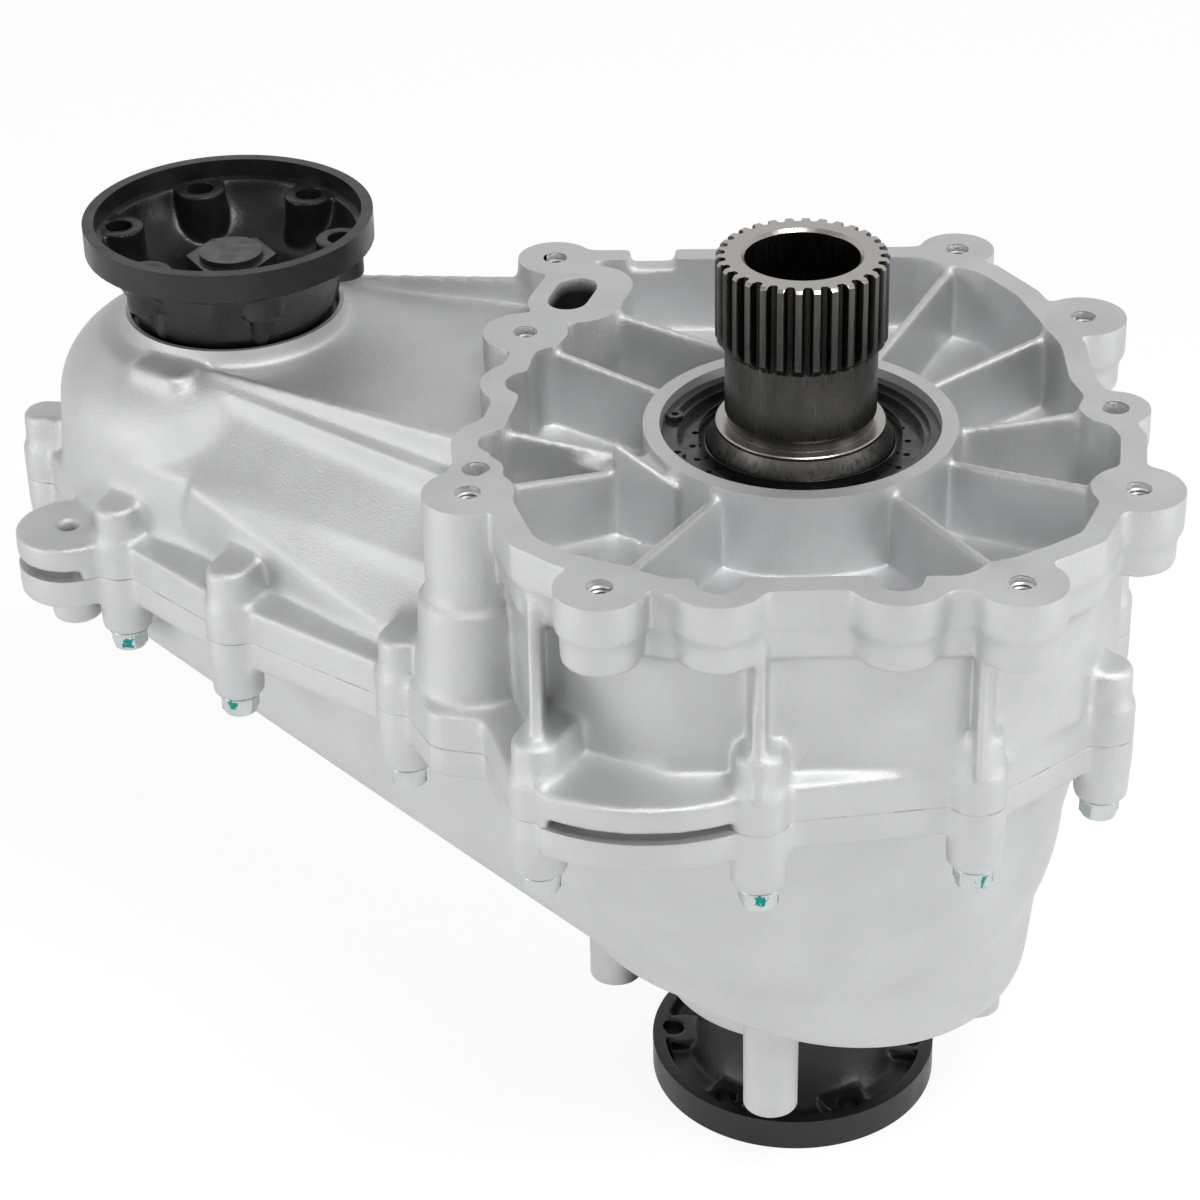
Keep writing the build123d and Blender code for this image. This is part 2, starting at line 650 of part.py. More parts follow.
# Rear half of the case
with BuildPart() as rear_case:
    with BuildSketch(Plane.XY.offset(rear_wall_z)):
        joint_outline()
    extrude(amount=rear_flange_t)
    with Locations(*[(x, y, joint_z - bolt_boss_drop) for x, y in bolt_centres + [ear_centre]]):
        Cone(bolt_boss_r - 0.7, bolt_boss_r, bolt_boss_drop - 1, align=(Align.CENTER, Align.CENTER, Align.MIN))
    add(chain_pan.part)
    with BuildSketch(Plane.XZ):
        with BuildLine():
            Polyline((0, rear_wall_z), (bowl_rim_r, rear_wall_z), (bowl_crest_r, bowl_crest_z))
            ThreePointArc((bowl_crest_r, bowl_crest_z), (bowl_belt_r + 1, bowl_belt_z), (bowl_foot_r, bowl_foot_z))
            Polyline((bowl_foot_r, bowl_foot_z), (bowl_neck_r, bowl_neck_z), (nose_r, bowl_neck_z - 4),
                     (nose_r, nose_z + 1), (nose_r - 1, nose_z), (0, nose_z), (0, rear_wall_z))
        make_face()
    revolve(axis=Axis.Z)
    # Mounting posts with their webs, and the boss of the front shaft's tail bearing
    for k in range(post_count):
        turn = radians(post_first_angle + 360 / post_count * k)
        foot = (post_pcd_r * cos(turn), post_pcd_r * sin(turn))
        with Locations((*foot, post_foot_z)):
            Cone(post_r - 0.6, post_r, bowl_crest_z - post_foot_z, align=(Align.CENTER, Align.CENTER, Align.MIN))
        add(rib_solid((0, 0), foot, nose_z + 6, bowl_foot_z, bowl_foot_z, post_r))
    with Locations((*front_axis, front_tail_foot_z)):
        Cylinder(front_tail_boss_r, rear_wall_z - front_tail_foot_z, align=(Align.CENTER, Align.CENTER, Align.MIN))
    # Rooms for the chain and the differential
    add(pan_room.part, mode=Mode.SUBTRACT)
    with BuildSketch(Plane.XZ):
        Polygon((0, joint_z), (bowl_rim_r - 3 * case_wall, joint_z), (bowl_crest_r - case_wall, bowl_crest_z),
                (bowl_belt_r - case_wall, bowl_belt_z), (bowl_foot_r - case_wall, bowl_foot_z + case_wall),
                (bowl_neck_r, rear_bearing_z + rear_bearing_w), (0, rear_bearing_z + rear_bearing_w), align=None)
    revolve(axis=Axis.Z, mode=Mode.SUBTRACT)
    with BuildSketch(Plane.XZ):
        Polygon((0, nose_z), (rear_seal_r, nose_z), (rear_seal_r, nose_z + rear_seal_w),
                (rear_bearing_r - 4, nose_z + rear_seal_w), (rear_bearing_r - 4, rear_bearing_z),
                (rear_bearing_r, rear_bearing_z), (rear_bearing_r, bowl_belt_z), (0, bowl_belt_z), align=None)
    revolve(axis=Axis.Z, mode=Mode.SUBTRACT)
    # Tail bearing pocket, standing in the pan's room
    with BuildSketch(Plane.XY.offset(front_tail_foot_z)):
        with Locations(front_axis):
            Circle(front_tail_boss_r)
            Circle(front_tail_bearing_r, mode=Mode.SUBTRACT)
    extrude(amount=front_tail_z + front_tail_bearing_w + 1 - front_tail_foot_z)
    with Locations((*front_axis, front_tail_z)):
        Cylinder(front_tail_bearing_r, front_tail_bearing_w + 2, mode=Mode.SUBTRACT,
                 align=(Align.CENTER, Align.CENTER, Align.MIN))
    # Plug bosses with their threaded holes
    for turn in plug_turns.values():
        with BuildSketch(plug_plane(turn)):
            Circle(plug_boss_r)
        extrude(amount=bowl_foot_r - plug_face_r)
    with BuildSketch(Plane.XZ):
        Polygon((0, joint_z), (bowl_rim_r - 3 * case_wall, joint_z), (bowl_crest_r - case_wall, bowl_crest_z),
                (bowl_belt_r - case_wall, bowl_belt_z), (0, bowl_belt_z), align=None)
    revolve(axis=Axis.Z, mode=Mode.SUBTRACT)
    for turn in plug_turns.values():
        with BuildSketch(plug_plane(turn)):
            Circle(plug_r + press_gap)
        extrude(amount=bowl_foot_r - plug_face_r, mode=Mode.SUBTRACT)
    # Bolt holes through the bosses, with room for the heads and seats for the dowel sleeves
    with Locations(*[(x, y, joint_z - bolt_boss_drop) for x, y in bolt_centres]):
        Cylinder(bolt_bore_r, bolt_boss_drop, align=(Align.CENTER, Align.CENTER, Align.MIN), mode=Mode.SUBTRACT)
    with Locations(*[(x, y, joint_z - bolt_boss_drop) for x, y in bolt_centres]):
        Cylinder(spot_face_r, spot_face_drop, align=(Align.CENTER, Align.CENTER, Align.MAX), mode=Mode.SUBTRACT)
    with Locations(*[(*bolt_centres[k], joint_z) for k in dowel_sleeve_bolts]):
        Cylinder(dowel_sleeve_r + press_gap, dowel_sleeve_l + free_gap, mode=Mode.SUBTRACT)
    # Alignment hole of the ear, threaded holes of the posts
    with Locations((*ear_centre, joint_z - bolt_boss_drop)):
        Cylinder(ear_hole_r, bolt_boss_drop, align=(Align.CENTER, Align.CENTER, Align.MIN), mode=Mode.SUBTRACT)
    for k in range(post_count):
        turn = radians(post_first_angle + 360 / post_count * k)
        with Locations((post_pcd_r * cos(turn), post_pcd_r * sin(turn), post_foot_z)):
            Cylinder(post_hole_r, post_hole_depth, align=(Align.CENTER, Align.CENTER, Align.MIN),
                     mode=Mode.SUBTRACT)
finish_piece(rear_case, "rear_case")


def bearing_outer(centre, low_z, inner_r, outer_r, width):
    """Outer race with its row of rollers, standing in the case."""
    race = (outer_r - inner_r) * race_share
    roller_r = (outer_r - inner_r) / 2 - race - fit_gap
    pitch = (outer_r + inner_r) / 2
    count = int(2 * pi * pitch / (roller_pitch_share * roller_r))
    with BuildPart() as bearing:
        with BuildSketch(Plane.XY.offset(low_z)):
            with Locations(centre):
                Circle(outer_r - press_gap)
                Circle(outer_r - race, mode=Mode.SUBTRACT)
        extrude(amount=width)
        with Locations((*centre, low_z + width / 2)):
            with PolarLocations(pitch, count):
                Cylinder(roller_r, width - 4)
    return bearing


def bearing_inner(centre, low_z, inner_r, outer_r, width):
    """Inner race, pressed on its shaft."""
    race = (outer_r - inner_r) * race_share
    with BuildPart() as bearing:
        with BuildSketch(Plane.XY.offset(low_z)):
            with Locations(centre):
                Circle(inner_r + race)
                Circle(inner_r + press_gap, mode=Mode.SUBTRACT)
        extrude(amount=width)
    return bearing


def ring_piece(centre, low_z, inner_r, outer_r, width):
    """Plain ring round a vertical axis."""
    with BuildPart() as ring:
        with BuildSketch(Plane.XY.offset(low_z)):
            with Locations(centre):
                Circle(outer_r)
                Circle(inner_r, mode=Mode.SUBTRACT)
        extrude(amount=width)
    return ring


def involute(angle_cos):
    """Involute function of the angle whose cosine is given."""
    angle = acos(min(1.0, angle_cos))
    return tan(angle) - angle


def flank_half_angle(radius, pitch_r, half_tooth):
    """Half the angle that a tooth takes up at a radius."""
    base_r = pitch_r * cos(radians(pressure_angle))
    return half_tooth / pitch_r + involute(base_r / pitch_r) - involute(base_r / max(radius, base_r))


def tooth_points(pitch_r, root_r, tip_r, half_tooth):
    """Corners of one involute tooth that points along X."""
    radii = [root_r, pitch_r, tip_r]
    side = [(r * cos(flank_half_angle(r, pitch_r, half_tooth)), r * sin(flank_half_angle(r, pitch_r, half_tooth)))
            for r in radii]
    return side + [(x, -y) for x, y in reversed(side)]


# Joint bolts: hexagon head and washer under the rear half, shank up into the front half
with BuildPart() as case_bolts:
    head_top_z = joint_z - bolt_boss_drop
    with Locations(*[(x, y, head_top_z) for x, y in bolt_centres]):
        Cylinder(bolt_d / 2, bolt_boss_drop + bolt_engage, align=(Align.CENTER, Align.CENTER, Align.MIN))
        Cylinder(bolt_washer_r, bolt_washer_t, align=(Align.CENTER, Align.CENTER, Align.MAX))
    with BuildSketch(Plane.XY.offset(head_top_z - bolt_washer_t)):
        with Locations(*bolt_centres):
            RegularPolygon(bolt_head_af / 2, 6, major_radius=False)
    extrude(amount=-bolt_head_h)
finish_piece(case_bolts, "case_bolts")

# Hollow dowels round two of the joint bolts
with BuildPart() as dowel_sleeves:
    with Locations(*[(*bolt_centres[k], joint_z) for k in dowel_sleeve_bolts]):
        Cylinder(dowel_sleeve_r, dowel_sleeve_l)
        Cylinder(dowel_sleeve_bore_r, dowel_sleeve_l, mode=Mode.SUBTRACT)
finish_piece(dowel_sleeves, "dowel_sleeves")

# Threaded fill and drain plugs with their sealing washers
for name, turn in plug_turns.items():
    with BuildPart() as plug:
        with BuildSketch(plug_plane(turn)):
            Circle(plug_r)
        extrude(amount=plug_reach - plug_face_r)
        with BuildSketch(plug_plane(turn)):
            Circle(plug_washer_r)
        extrude(amount=plug_washer_t)
        with BuildSketch(plug_plane(turn).offset(plug_washer_t)):
            RegularPolygon(plug_head_af / 2, 6, major_radius=False)
        extrude(amount=plug_head_h)
    finish_piece(plug, name)

finish_piece(bearing_outer(main_axis, bearing_low_z + 1, input_seat_r, input_bearing_r, input_bearing_w),
             "input_bearing")
finish_piece(bearing_inner(main_axis, bearing_low_z + 1, input_seat_r, input_bearing_r, input_bearing_w),
             "input_bearing_inner")

# Oil guide plate over the input bearing, with its ring of small holes
with BuildPart() as oil_guide_plate:
    with BuildSketch(Plane.XZ):
        Polygon((plate_inner_r, plate_seat_z), (ring_bore_r - press_gap, plate_seat_z),
                (ring_bore_r - press_gap, plate_rim_z), (plate_rim_r, plate_rim_z), (plate_rim_r, plate_web_z),
                (plate_inner_r, plate_web_z), align=None)
    revolve(axis=Axis.Z)
    with BuildSketch(Plane.XY.offset(plate_web_z)):
        with PolarLocations(plate_hole_pcd_r, plate_hole_count):
            Circle(plate_hole_r)
    extrude(amount=-plate_hole_depth, mode=Mode.SUBTRACT)
finish_piece(oil_guide_plate, "oil_guide_plate")

# Snap ring with two eared ends facing the front output side
with BuildPart() as input_snap_ring:
    with BuildSketch(Plane.XY.offset(plate_rim_z)):
        Circle(ring_bore_r - press_gap)
        Circle(ring_bore_r - snap_ring_w, mode=Mode.SUBTRACT)
        with Locations((-ring_bore_r, 0)):
            Rectangle(4 * snap_ring_w, 2 * snap_ear_r * sin(radians(snap_ear_angle)), mode=Mode.SUBTRACT)
        for turn in (180 - snap_ear_angle, 180 + snap_ear_angle):
            with Locations((snap_ear_r * cos(radians(turn)), snap_ear_r * sin(radians(turn)))):
                Circle(snap_ear_size)
                Circle(snap_ear_hole, mode=Mode.SUBTRACT)
    extrude(amount=snap_ring_t)
finish_piece(input_snap_ring, "input_snap_ring")

finish_piece(ring_piece(main_axis, plate_web_z, collar_r + free_gap, input_seal_r, input_seal_h), "input_seal")

# Hollow input shaft: splined end, neck, collar, bearing seat and tail
with BuildPart() as input_shaft:
    spline_foot_z = shaft_top_z - spline_length
    with BuildSketch(Plane.XZ):
        Polygon((0, tail_z), (input_tail_r, tail_z), (input_tail_r, tail_top_z), (input_seat_r, tail_top_z),
                (input_seat_r, plate_seat_z), (collar_r, plate_seat_z), (collar_r, ring_top_z - 6),
                (collar_top_r, ring_top_z), (collar_top_r, ring_top_z + 1.5), (neck_groove_r, ring_top_z + 1.5),
                (neck_groove_r, ring_top_z + 5), (shaft_neck_r, ring_top_z + 6), (shaft_neck_r, spline_foot_z),
                (spline_root_r, shaft_top_z), (0, shaft_top_z), align=None)
    revolve(axis=Axis.Z)
    with BuildSketch(Plane.XY.offset(spline_foot_z)):
        with PolarLocations(0, spline_count):
            Polygon((spline_root_r - 2, -spline_foot_w / 2), (spline_tip_r, -spline_tip_w / 2),
                    (spline_tip_r, spline_tip_w / 2), (spline_root_r - 2, spline_foot_w / 2), align=None)
    extrude(amount=spline_length)
    with BuildSketch(Plane.XZ):
        Polygon((spline_tip_r - 1, shaft_top_z), (spline_tip_r + 1, shaft_top_z),
                (spline_tip_r + 1, shaft_top_z - 2), align=None)
    revolve(axis=Axis.Z, mode=Mode.SUBTRACT)
    with BuildSketch(Plane.XZ):
        Polygon((shaft_neck_r, spline_foot_z), (spline_tip_r + 1, spline_foot_z),
                (spline_tip_r + 1, spline_foot_z + spline_tip_r - shaft_neck_r + 1), align=None)
    revolve(axis=Axis.Z, mode=Mode.SUBTRACT)
    with BuildSketch(Plane.XZ):
        Polygon((0, bore_foot_z), (shaft_bore_r, bore_foot_z), (shaft_bore_r, shaft_top_z - 1.2),
                (shaft_bore_r + 1.2, shaft_top_z), (0, shaft_top_z), align=None)
    revolve(axis=Axis.Z, mode=Mode.SUBTRACT)
finish_piece(input_shaft, "input_shaft")

# Planet carrier: lower disc on the shaft's tail and upper ring, held together by the planet pins
half_tooth = (pi * gear_module / 2 - backlash) / 2
planet_turns = [360 / planet_count * k for k in range(planet_count)]
planet_spots = [(carrier_r * cos(radians(t)), carrier_r * sin(radians(t))) for t in planet_turns]
carrier_foot_z = gear_z - free_gap - carrier_t
with BuildPart() as planet_carrier:
    with BuildSketch(Plane.XY.offset(carrier_foot_z)):
        Circle(carrier_r + pin_r + pin_shoulder)
        Circle(input_tail_r + press_gap, mode=Mode.SUBTRACT)
        with Locations(*planet_spots):
            Circle(pin_r + press_gap, mode=Mode.SUBTRACT)
    extrude(amount=carrier_t)
finish_piece(planet_carrier, "planet_carrier")

with BuildPart() as carrier_ring:
    with BuildSketch(Plane.XY.offset(gear_z + gear_w + free_gap)):
        Circle(carrier_r + pin_r + pin_shoulder)
        Circle(carrier_r - pin_r - pin_shoulder, mode=Mode.SUBTRACT)
        with Locations(*planet_spots):
            Circle(pin_r + press_gap, mode=Mode.SUBTRACT)
    extrude(amount=carrier_t / 2)
finish_piece(carrier_ring, "carrier_ring")

with BuildPart() as planet_pins:
    with Locations(*[(x, y, carrier_foot_z) for x, y in planet_spots]):
        Cylinder(pin_r, gear_w + 2 * free_gap + 1.5 * carrier_t, align=(Align.CENTER, Align.CENTER, Align.MIN))
finish_piece(planet_pins, "planet_pins")

for k, (spot, turn) in enumerate(zip(planet_spots, planet_turns)):
    with BuildPart() as planet_gear:
        with BuildSketch(Plane.XY.offset(gear_z)):
            with Locations(Location(spot, turn)):
                Circle(planet_r - tooth_root + 0.1)
                with PolarLocations(0, planet_teeth):
                    Polygon(*tooth_points(planet_r, planet_r - tooth_root, planet_r + tooth_tip, half_tooth),
                            align=None)
            with Locations(spot):
                Circle(pin_r + fit_gap, mode=Mode.SUBTRACT)
        extrude(amount=gear_w)
    finish_piece(planet_gear, f"planet_gear_{k + 1}")

# Sun gear on its tube, which also carries the chain's drive sprocket
with BuildPart() as sun_gear:
    with BuildSketch(Plane.XY.offset(gear_z)):
        Circle(sun_r - tooth_root + 0.1)
        with PolarLocations(0, sun_teeth):
            Polygon(*tooth_points(sun_r, sun_r - tooth_root, sun_r + tooth_tip, half_tooth), align=None)
    extrude(amount=gear_w)
    with BuildSketch(Plane.XY.offset(gear_z)):
        Circle(sun_tube_r)
    extrude(amount=sun_top_z - gear_z)
    with BuildSketch(Plane.XY.offset(gear_z)):
        Circle(input_tail_r + fit_gap)
    extrude(amount=sun_top_z - gear_z, mode=Mode.SUBTRACT)
finish_piece(sun_gear, "sun_gear")


def sprocket(centre, bore_r):
    """Silent chain sprocket with straight-sided teeth."""
    root_r = sprocket_r - sprocket_tooth_h
    foot_w = chain_pitch * 0.56
    tip_w = chain_pitch * 0.3
    with BuildPart() as wheel:
        with BuildSketch(Plane.XY.offset(chain_mid_z - chain_w / 2)):
            with Locations(centre):
                Circle(root_r)
                with PolarLocations(0, sprocket_teeth):
                    Polygon((root_r - 1, -foot_w / 2), (sprocket_r, -tip_w / 2), (sprocket_r, tip_w / 2),
                            (root_r - 1, foot_w / 2), align=None)
                Circle(bore_r, mode=Mode.SUBTRACT)
        extrude(amount=chain_w)
    return wheel


finish_piece(sprocket(main_axis, sun_tube_r + press_gap), "drive_sprocket")
finish_piece(sprocket(front_axis, front_shaft_r + press_gap), "driven_sprocket")

# Silent chain: a loop of link blocks round both sprockets, with a narrow gap between links
chain_r = sprocket_r + free_gap + chain_plate_h / 2
chain_arc = pi * chain_r
chain_length = 2 * centre_distance + 2 * chain_arc
link_count = round(chain_length / chain_pitch)
heading = radians(front_axis_angle)
link_places = []
for k in range(link_count):
    along = chain_length * (k + 0.5) / link_count
    if along < centre_distance:
        reach, lift, turn = along, chain_r, 0
    elif along < centre_distance + chain_arc:
        swing = (along - centre_distance) / chain_r
        reach, lift, turn = centre_distance + chain_r * sin(swing), chain_r * cos(swing), -degrees(swing)
    elif along < 2 * centre_distance + chain_arc:
        reach, lift, turn = 2 * centre_distance + chain_arc - along, -chain_r, 180
    else:
        swing = (along - 2 * centre_distance - chain_arc) / chain_r
        reach, lift, turn = -chain_r * sin(swing), -chain_r * cos(swing), 180 - degrees(swing)
    spot = (reach * cos(heading) - lift * sin(heading), reach * sin(heading) + lift * cos(heading), chain_mid_z)
    link_places.append(Location(spot, (0, 0, front_axis_angle + turn)))
with BuildPart() as drive_chain:
    with Locations(*link_places):
        Box(chain_link_l, chain_plate_h, chain_w - 2)
finish_piece(drive_chain, "drive_chain")

# Annulus drum on the rear output shaft
with BuildPart() as annulus_gear:
    with BuildSketch(Plane.XZ):
        Polygon((rear_shaft_r + press_gap, drum_z), (annulus_outer_r, drum_z), (annulus_outer_r, gear_z + gear_w),
                (annulus_r - gear_module, gear_z + gear_w), (annulus_r - gear_module, gear_z - free_gap),
                (annulus_outer_r - annulus_rim, gear_z - free_gap), (annulus_outer_r - annulus_rim, drum_z + drum_t),
                (rear_shaft_r + press_gap, drum_z + drum_t), align=None)
    revolve(axis=Axis.Z)
    with BuildSketch(Plane.XY.offset(gear_z - free_gap)):
        with PolarLocations(0, annulus_teeth):
            Polygon(*tooth_points(annulus_r, annulus_r - gear_module - 0.2, annulus_r + tooth_root,
                                  half_tooth + backlash), align=None)
    extrude(amount=gear_w + free_gap, mode=Mode.SUBTRACT)
finish_piece(annulus_gear, "annulus_gear")

with BuildPart() as rear_output_shaft:
    with BuildSketch(Plane.XZ):
        Polygon((0, rear_shaft_foot_z), (rear_thread_r, rear_shaft_foot_z), (rear_thread_r, rear_nut_z),
                (rear_spline_r, rear_nut_z), (rear_spline_r, rear_bearing_z - 1), (rear_shaft_r, rear_bearing_z - 1),
                (rear_shaft_r, drum_z + drum_t), (0, drum_z + drum_t), align=None)
    revolve(axis=Axis.Z)
finish_piece(rear_output_shaft, "rear_output_shaft")
finish_piece(bearing_outer(main_axis, rear_bearing_z, rear_shaft_r, rear_bearing_r, rear_bearing_w),
             "rear_bearing")
finish_piece(bearing_inner(main_axis, rear_bearing_z, rear_shaft_r, rear_bearing_r, rear_bearing_w),
             "rear_bearing_inner")
finish_piece(ring_piece(main_axis, nose_z, rear_hub_r + free_gap, rear_seal_r - press_gap, rear_seal_w),
             "rear_output_seal")

# Rear output flange: flat bolting face, rim, six bolt bosses on a domed web, hub
boss_outer_r = rear_flange_r - rear_rim_w / 2
with BuildPart() as rear_flange:
    with BuildSketch(Plane.XZ):
        with BuildLine():
            Polyline((rear_spline_r + press_gap, rear_recess_depth), (rear_recess_r, rear_recess_depth),
                     (rear_recess_r, 0), (rear_flange_r, 0), (rear_flange_r, rear_flange_rim),
                     (rear_flange_r - rear_rim_w, rear_flange_rim), (rear_flange_r - rear_rim_w - 1, rear_web_z),
                     (rear_web_r + 3, rear_web_z + 1))
            ThreePointArc((rear_web_r + 3, rear_web_z + 1), (rear_web_r - 3, rear_web_z + 12),
                          (rear_web_top_r, shield_z))
            Polyline((rear_web_top_r, shield_z), (rear_hub_r, shield_z), (rear_hub_r, rear_bearing_z - 1),
                     (rear_spline_r + press_gap, rear_bearing_z - 1), (rear_spline_r + press_gap,
                                                                        rear_recess_depth))
        make_face()
    revolve(axis=Axis.Z)
    with BuildSketch(Plane.XY.offset(rear_web_z - 1)):
        with Locations(Location((0, 0), rear_first_angle)):
            with PolarLocations((boss_outer_r + rear_web_top_r) / 2, flange_bolt_count):
                SlotOverall(boss_outer_r - rear_web_top_r, 2 * rear_boss_r)
    extrude(amount=rear_flange_rim - rear_web_z)
    with BuildSketch():
        with Locations(Location((0, 0), rear_first_angle)):
            with PolarLocations(rear_pcd_r, flange_bolt_count):
                Circle(rear_hole_r)
    extrude(amount=2 * rear_flange_rim, mode=Mode.SUBTRACT)
finish_piece(rear_flange, "rear_flange")
finish_piece(ring_piece(main_axis, shield_z, rear_hub_r + press_gap, shield_r, shield_t), "rear_dust_shield")


def flange_nut(centre, low_z, bore_r):
    """Hexagon nut round a vertical axis."""
    with BuildPart() as nut:
        with BuildSketch(Plane.XY.offset(low_z)):
            with Locations(centre):
                RegularPolygon(nut_r, 6)
                Circle(bore_r + press_gap, mode=Mode.SUBTRACT)
        extrude(amount=nut_h)
    return nut


finish_piece(flange_nut(main_axis, rear_nut_z - nut_h, rear_thread_r), "rear_flange_nut")

# Front output: shaft, bearings, seal, cup flange and nut
cup_foot_z = front_lip_z - front_cup_depth
cup_ledge_z = front_lip_z - front_cup_ledge
cup_floor_z = cup_foot_z + 9
with BuildPart() as front_output_shaft:
    with BuildSketch(front_section):
        Polygon((0, front_tail_z), (front_tail_r, front_tail_z), (front_tail_r, front_tail_z + front_tail_bearing_w),
                (front_shaft_r, front_tail_z + front_tail_bearing_w), (front_shaft_r, front_bearing_low_z
                + front_bearing_w), (front_spline_r, front_bearing_low_z + front_bearing_w),
                (front_spline_r, cup_floor_z), (front_thread_r, cup_floor_z),
                (front_thread_r, cup_floor_z + nut_h + 2), (0, cup_floor_z + nut_h + 2), align=None)
    revolve(axis=Axis(front_axis_foot, (0, 0, 1)))
finish_piece(front_output_shaft, "front_output_shaft")
finish_piece(bearing_outer(front_axis, front_bearing_low_z, front_shaft_r, front_bearing_r, front_bearing_w),
             "front_bearing")
finish_piece(bearing_inner(front_axis, front_bearing_low_z, front_shaft_r, front_bearing_r, front_bearing_w),
             "front_bearing_inner")
finish_piece(bearing_outer(front_axis, front_tail_z, front_tail_r, front_tail_bearing_r, front_tail_bearing_w),
             "front_tail_bearing")
finish_piece(bearing_inner(front_axis, front_tail_z, front_tail_r, front_tail_bearing_r, front_tail_bearing_w),
             "front_tail_bearing_inner")
finish_piece(ring_piece(front_axis, front_seal_z, front_hub_r + free_gap, front_seal_r - press_gap, front_seal_w),
             "front_output_seal")

with BuildPart() as cup_hollow:
    with BuildSketch(front_section):
        with BuildLine():
            Polyline((0, cup_floor_z), (cup_floor_r, cup_floor_z))
            ThreePointArc((cup_floor_r, cup_floor_z), (cup_wall_r - 4, (cup_floor_z + cup_ledge_z) / 2),
                          (cup_wall_r, cup_ledge_z))
            Polyline((cup_wall_r, cup_ledge_z), (0, cup_ledge_z), (0, cup_floor_z))
        make_face()
    revolve(axis=Axis(front_axis_foot, (0, 0, 1)))
    with BuildSketch(Plane.XY.offset(cup_floor_z)):
        with Locations(Location(front_axis, front_first_angle)):
            with PolarLocations(front_pcd_r + 4, flange_bolt_count):
                SlotOverall(2 * front_tab_r + 8, 2 * front_tab_r)
    extrude(amount=cup_ledge_z - cup_floor_z, mode=Mode.SUBTRACT)

with BuildPart() as front_flange:
    with BuildSketch(front_section):
        with BuildLine():
            Polyline((front_spline_r + press_gap, cup_hub_z), (front_hub_r, cup_hub_z), (front_hub_r, cup_foot_z),
                     (front_cup_base_r - 1, cup_foot_z), (front_cup_base_r, cup_foot_z + 1))
            ThreePointArc((front_cup_base_r, cup_foot_z + 1), (front_cup_base_r + 5.5, cup_foot_z + 15),
                          (front_cup_r - 5, front_lip_z - front_cup_band - 1.5))
            Polyline((front_cup_r - 5, front_lip_z - front_cup_band - 1.5), (front_cup_r - 1, front_lip_z
                     - front_cup_band), (front_cup_r, front_lip_z - front_cup_band + 1),
                     (front_cup_r, front_lip_z - 1), (front_cup_r - 1, front_lip_z), (front_cup_bore_r, front_lip_z),
                     (front_cup_bore_r, cup_ledge_z), (front_spline_r + press_gap, cup_ledge_z),
                     (front_spline_r + press_gap, cup_hub_z))
        make_face()
    revolve(axis=Axis(front_axis_foot, (0, 0, 1)))
    add(cup_hollow.part, mode=Mode.SUBTRACT)
    with BuildSketch(Plane.XY.offset(cup_ledge_z - front_lug_drop)):
        with Locations(Location(front_axis, front_first_angle)):
            with PolarLocations(front_pcd_r, flange_bolt_count):
                Circle(front_tab_r - 1.5)
    extrude(amount=front_lug_drop)
    with BuildSketch(Plane.XY.offset(cup_ledge_z)):
        with Locations(Location(front_axis, front_first_angle)):
            with PolarLocations(front_pcd_r, flange_bolt_count):
                Circle(front_hole_r)
    extrude(amount=-front_cup_depth, mode=Mode.SUBTRACT)
finish_piece(front_flange, "front_flange")
finish_piece(flange_nut(front_axis, cup_floor_z, front_thread_r), "front_flange_nut")
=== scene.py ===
"""Looks of an all-wheel-drive transfer case: cast housing, splined shaft, coated flanges and joint bolts."""
import json
from contextlib import contextmanager
from math import cos, pi, radians, sin
from typing import NamedTuple

import bmesh
import bpy
import numpy as np
from bpy.props import FloatProperty, FloatVectorProperty, IntProperty, PointerProperty
from mathutils import Matrix, Vector


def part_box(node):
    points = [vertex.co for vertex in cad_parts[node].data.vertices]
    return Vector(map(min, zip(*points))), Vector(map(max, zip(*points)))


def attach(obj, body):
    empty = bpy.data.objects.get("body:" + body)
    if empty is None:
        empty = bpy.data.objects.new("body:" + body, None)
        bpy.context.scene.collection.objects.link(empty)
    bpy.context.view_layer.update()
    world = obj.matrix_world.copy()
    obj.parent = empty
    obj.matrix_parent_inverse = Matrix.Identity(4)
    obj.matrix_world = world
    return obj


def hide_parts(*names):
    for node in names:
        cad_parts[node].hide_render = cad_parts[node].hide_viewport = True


bl_info = {
    "name": "Transfer case looks",
    "version": (1, 0, 0),
    "blender": (4, 5, 0),
    "location": "3D View > Sidebar > Transfer case",
    "description": "Dresses the packed transfer case with cast, machined, coated and plated finishes",
    "category": "Object",
}

MM = 0.001
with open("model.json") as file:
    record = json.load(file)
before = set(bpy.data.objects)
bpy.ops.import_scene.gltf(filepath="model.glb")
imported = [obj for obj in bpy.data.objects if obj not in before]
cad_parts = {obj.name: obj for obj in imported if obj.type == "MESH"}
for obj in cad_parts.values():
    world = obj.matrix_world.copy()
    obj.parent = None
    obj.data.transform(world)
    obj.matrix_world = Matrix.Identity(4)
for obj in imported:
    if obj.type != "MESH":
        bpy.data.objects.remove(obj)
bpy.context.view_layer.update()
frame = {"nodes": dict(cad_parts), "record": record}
NODES = frame["nodes"]
MOUNTS = {mount["name"]: mount for mount in frame["record"]["mounts"]}

# Axes and heights in the shared frame

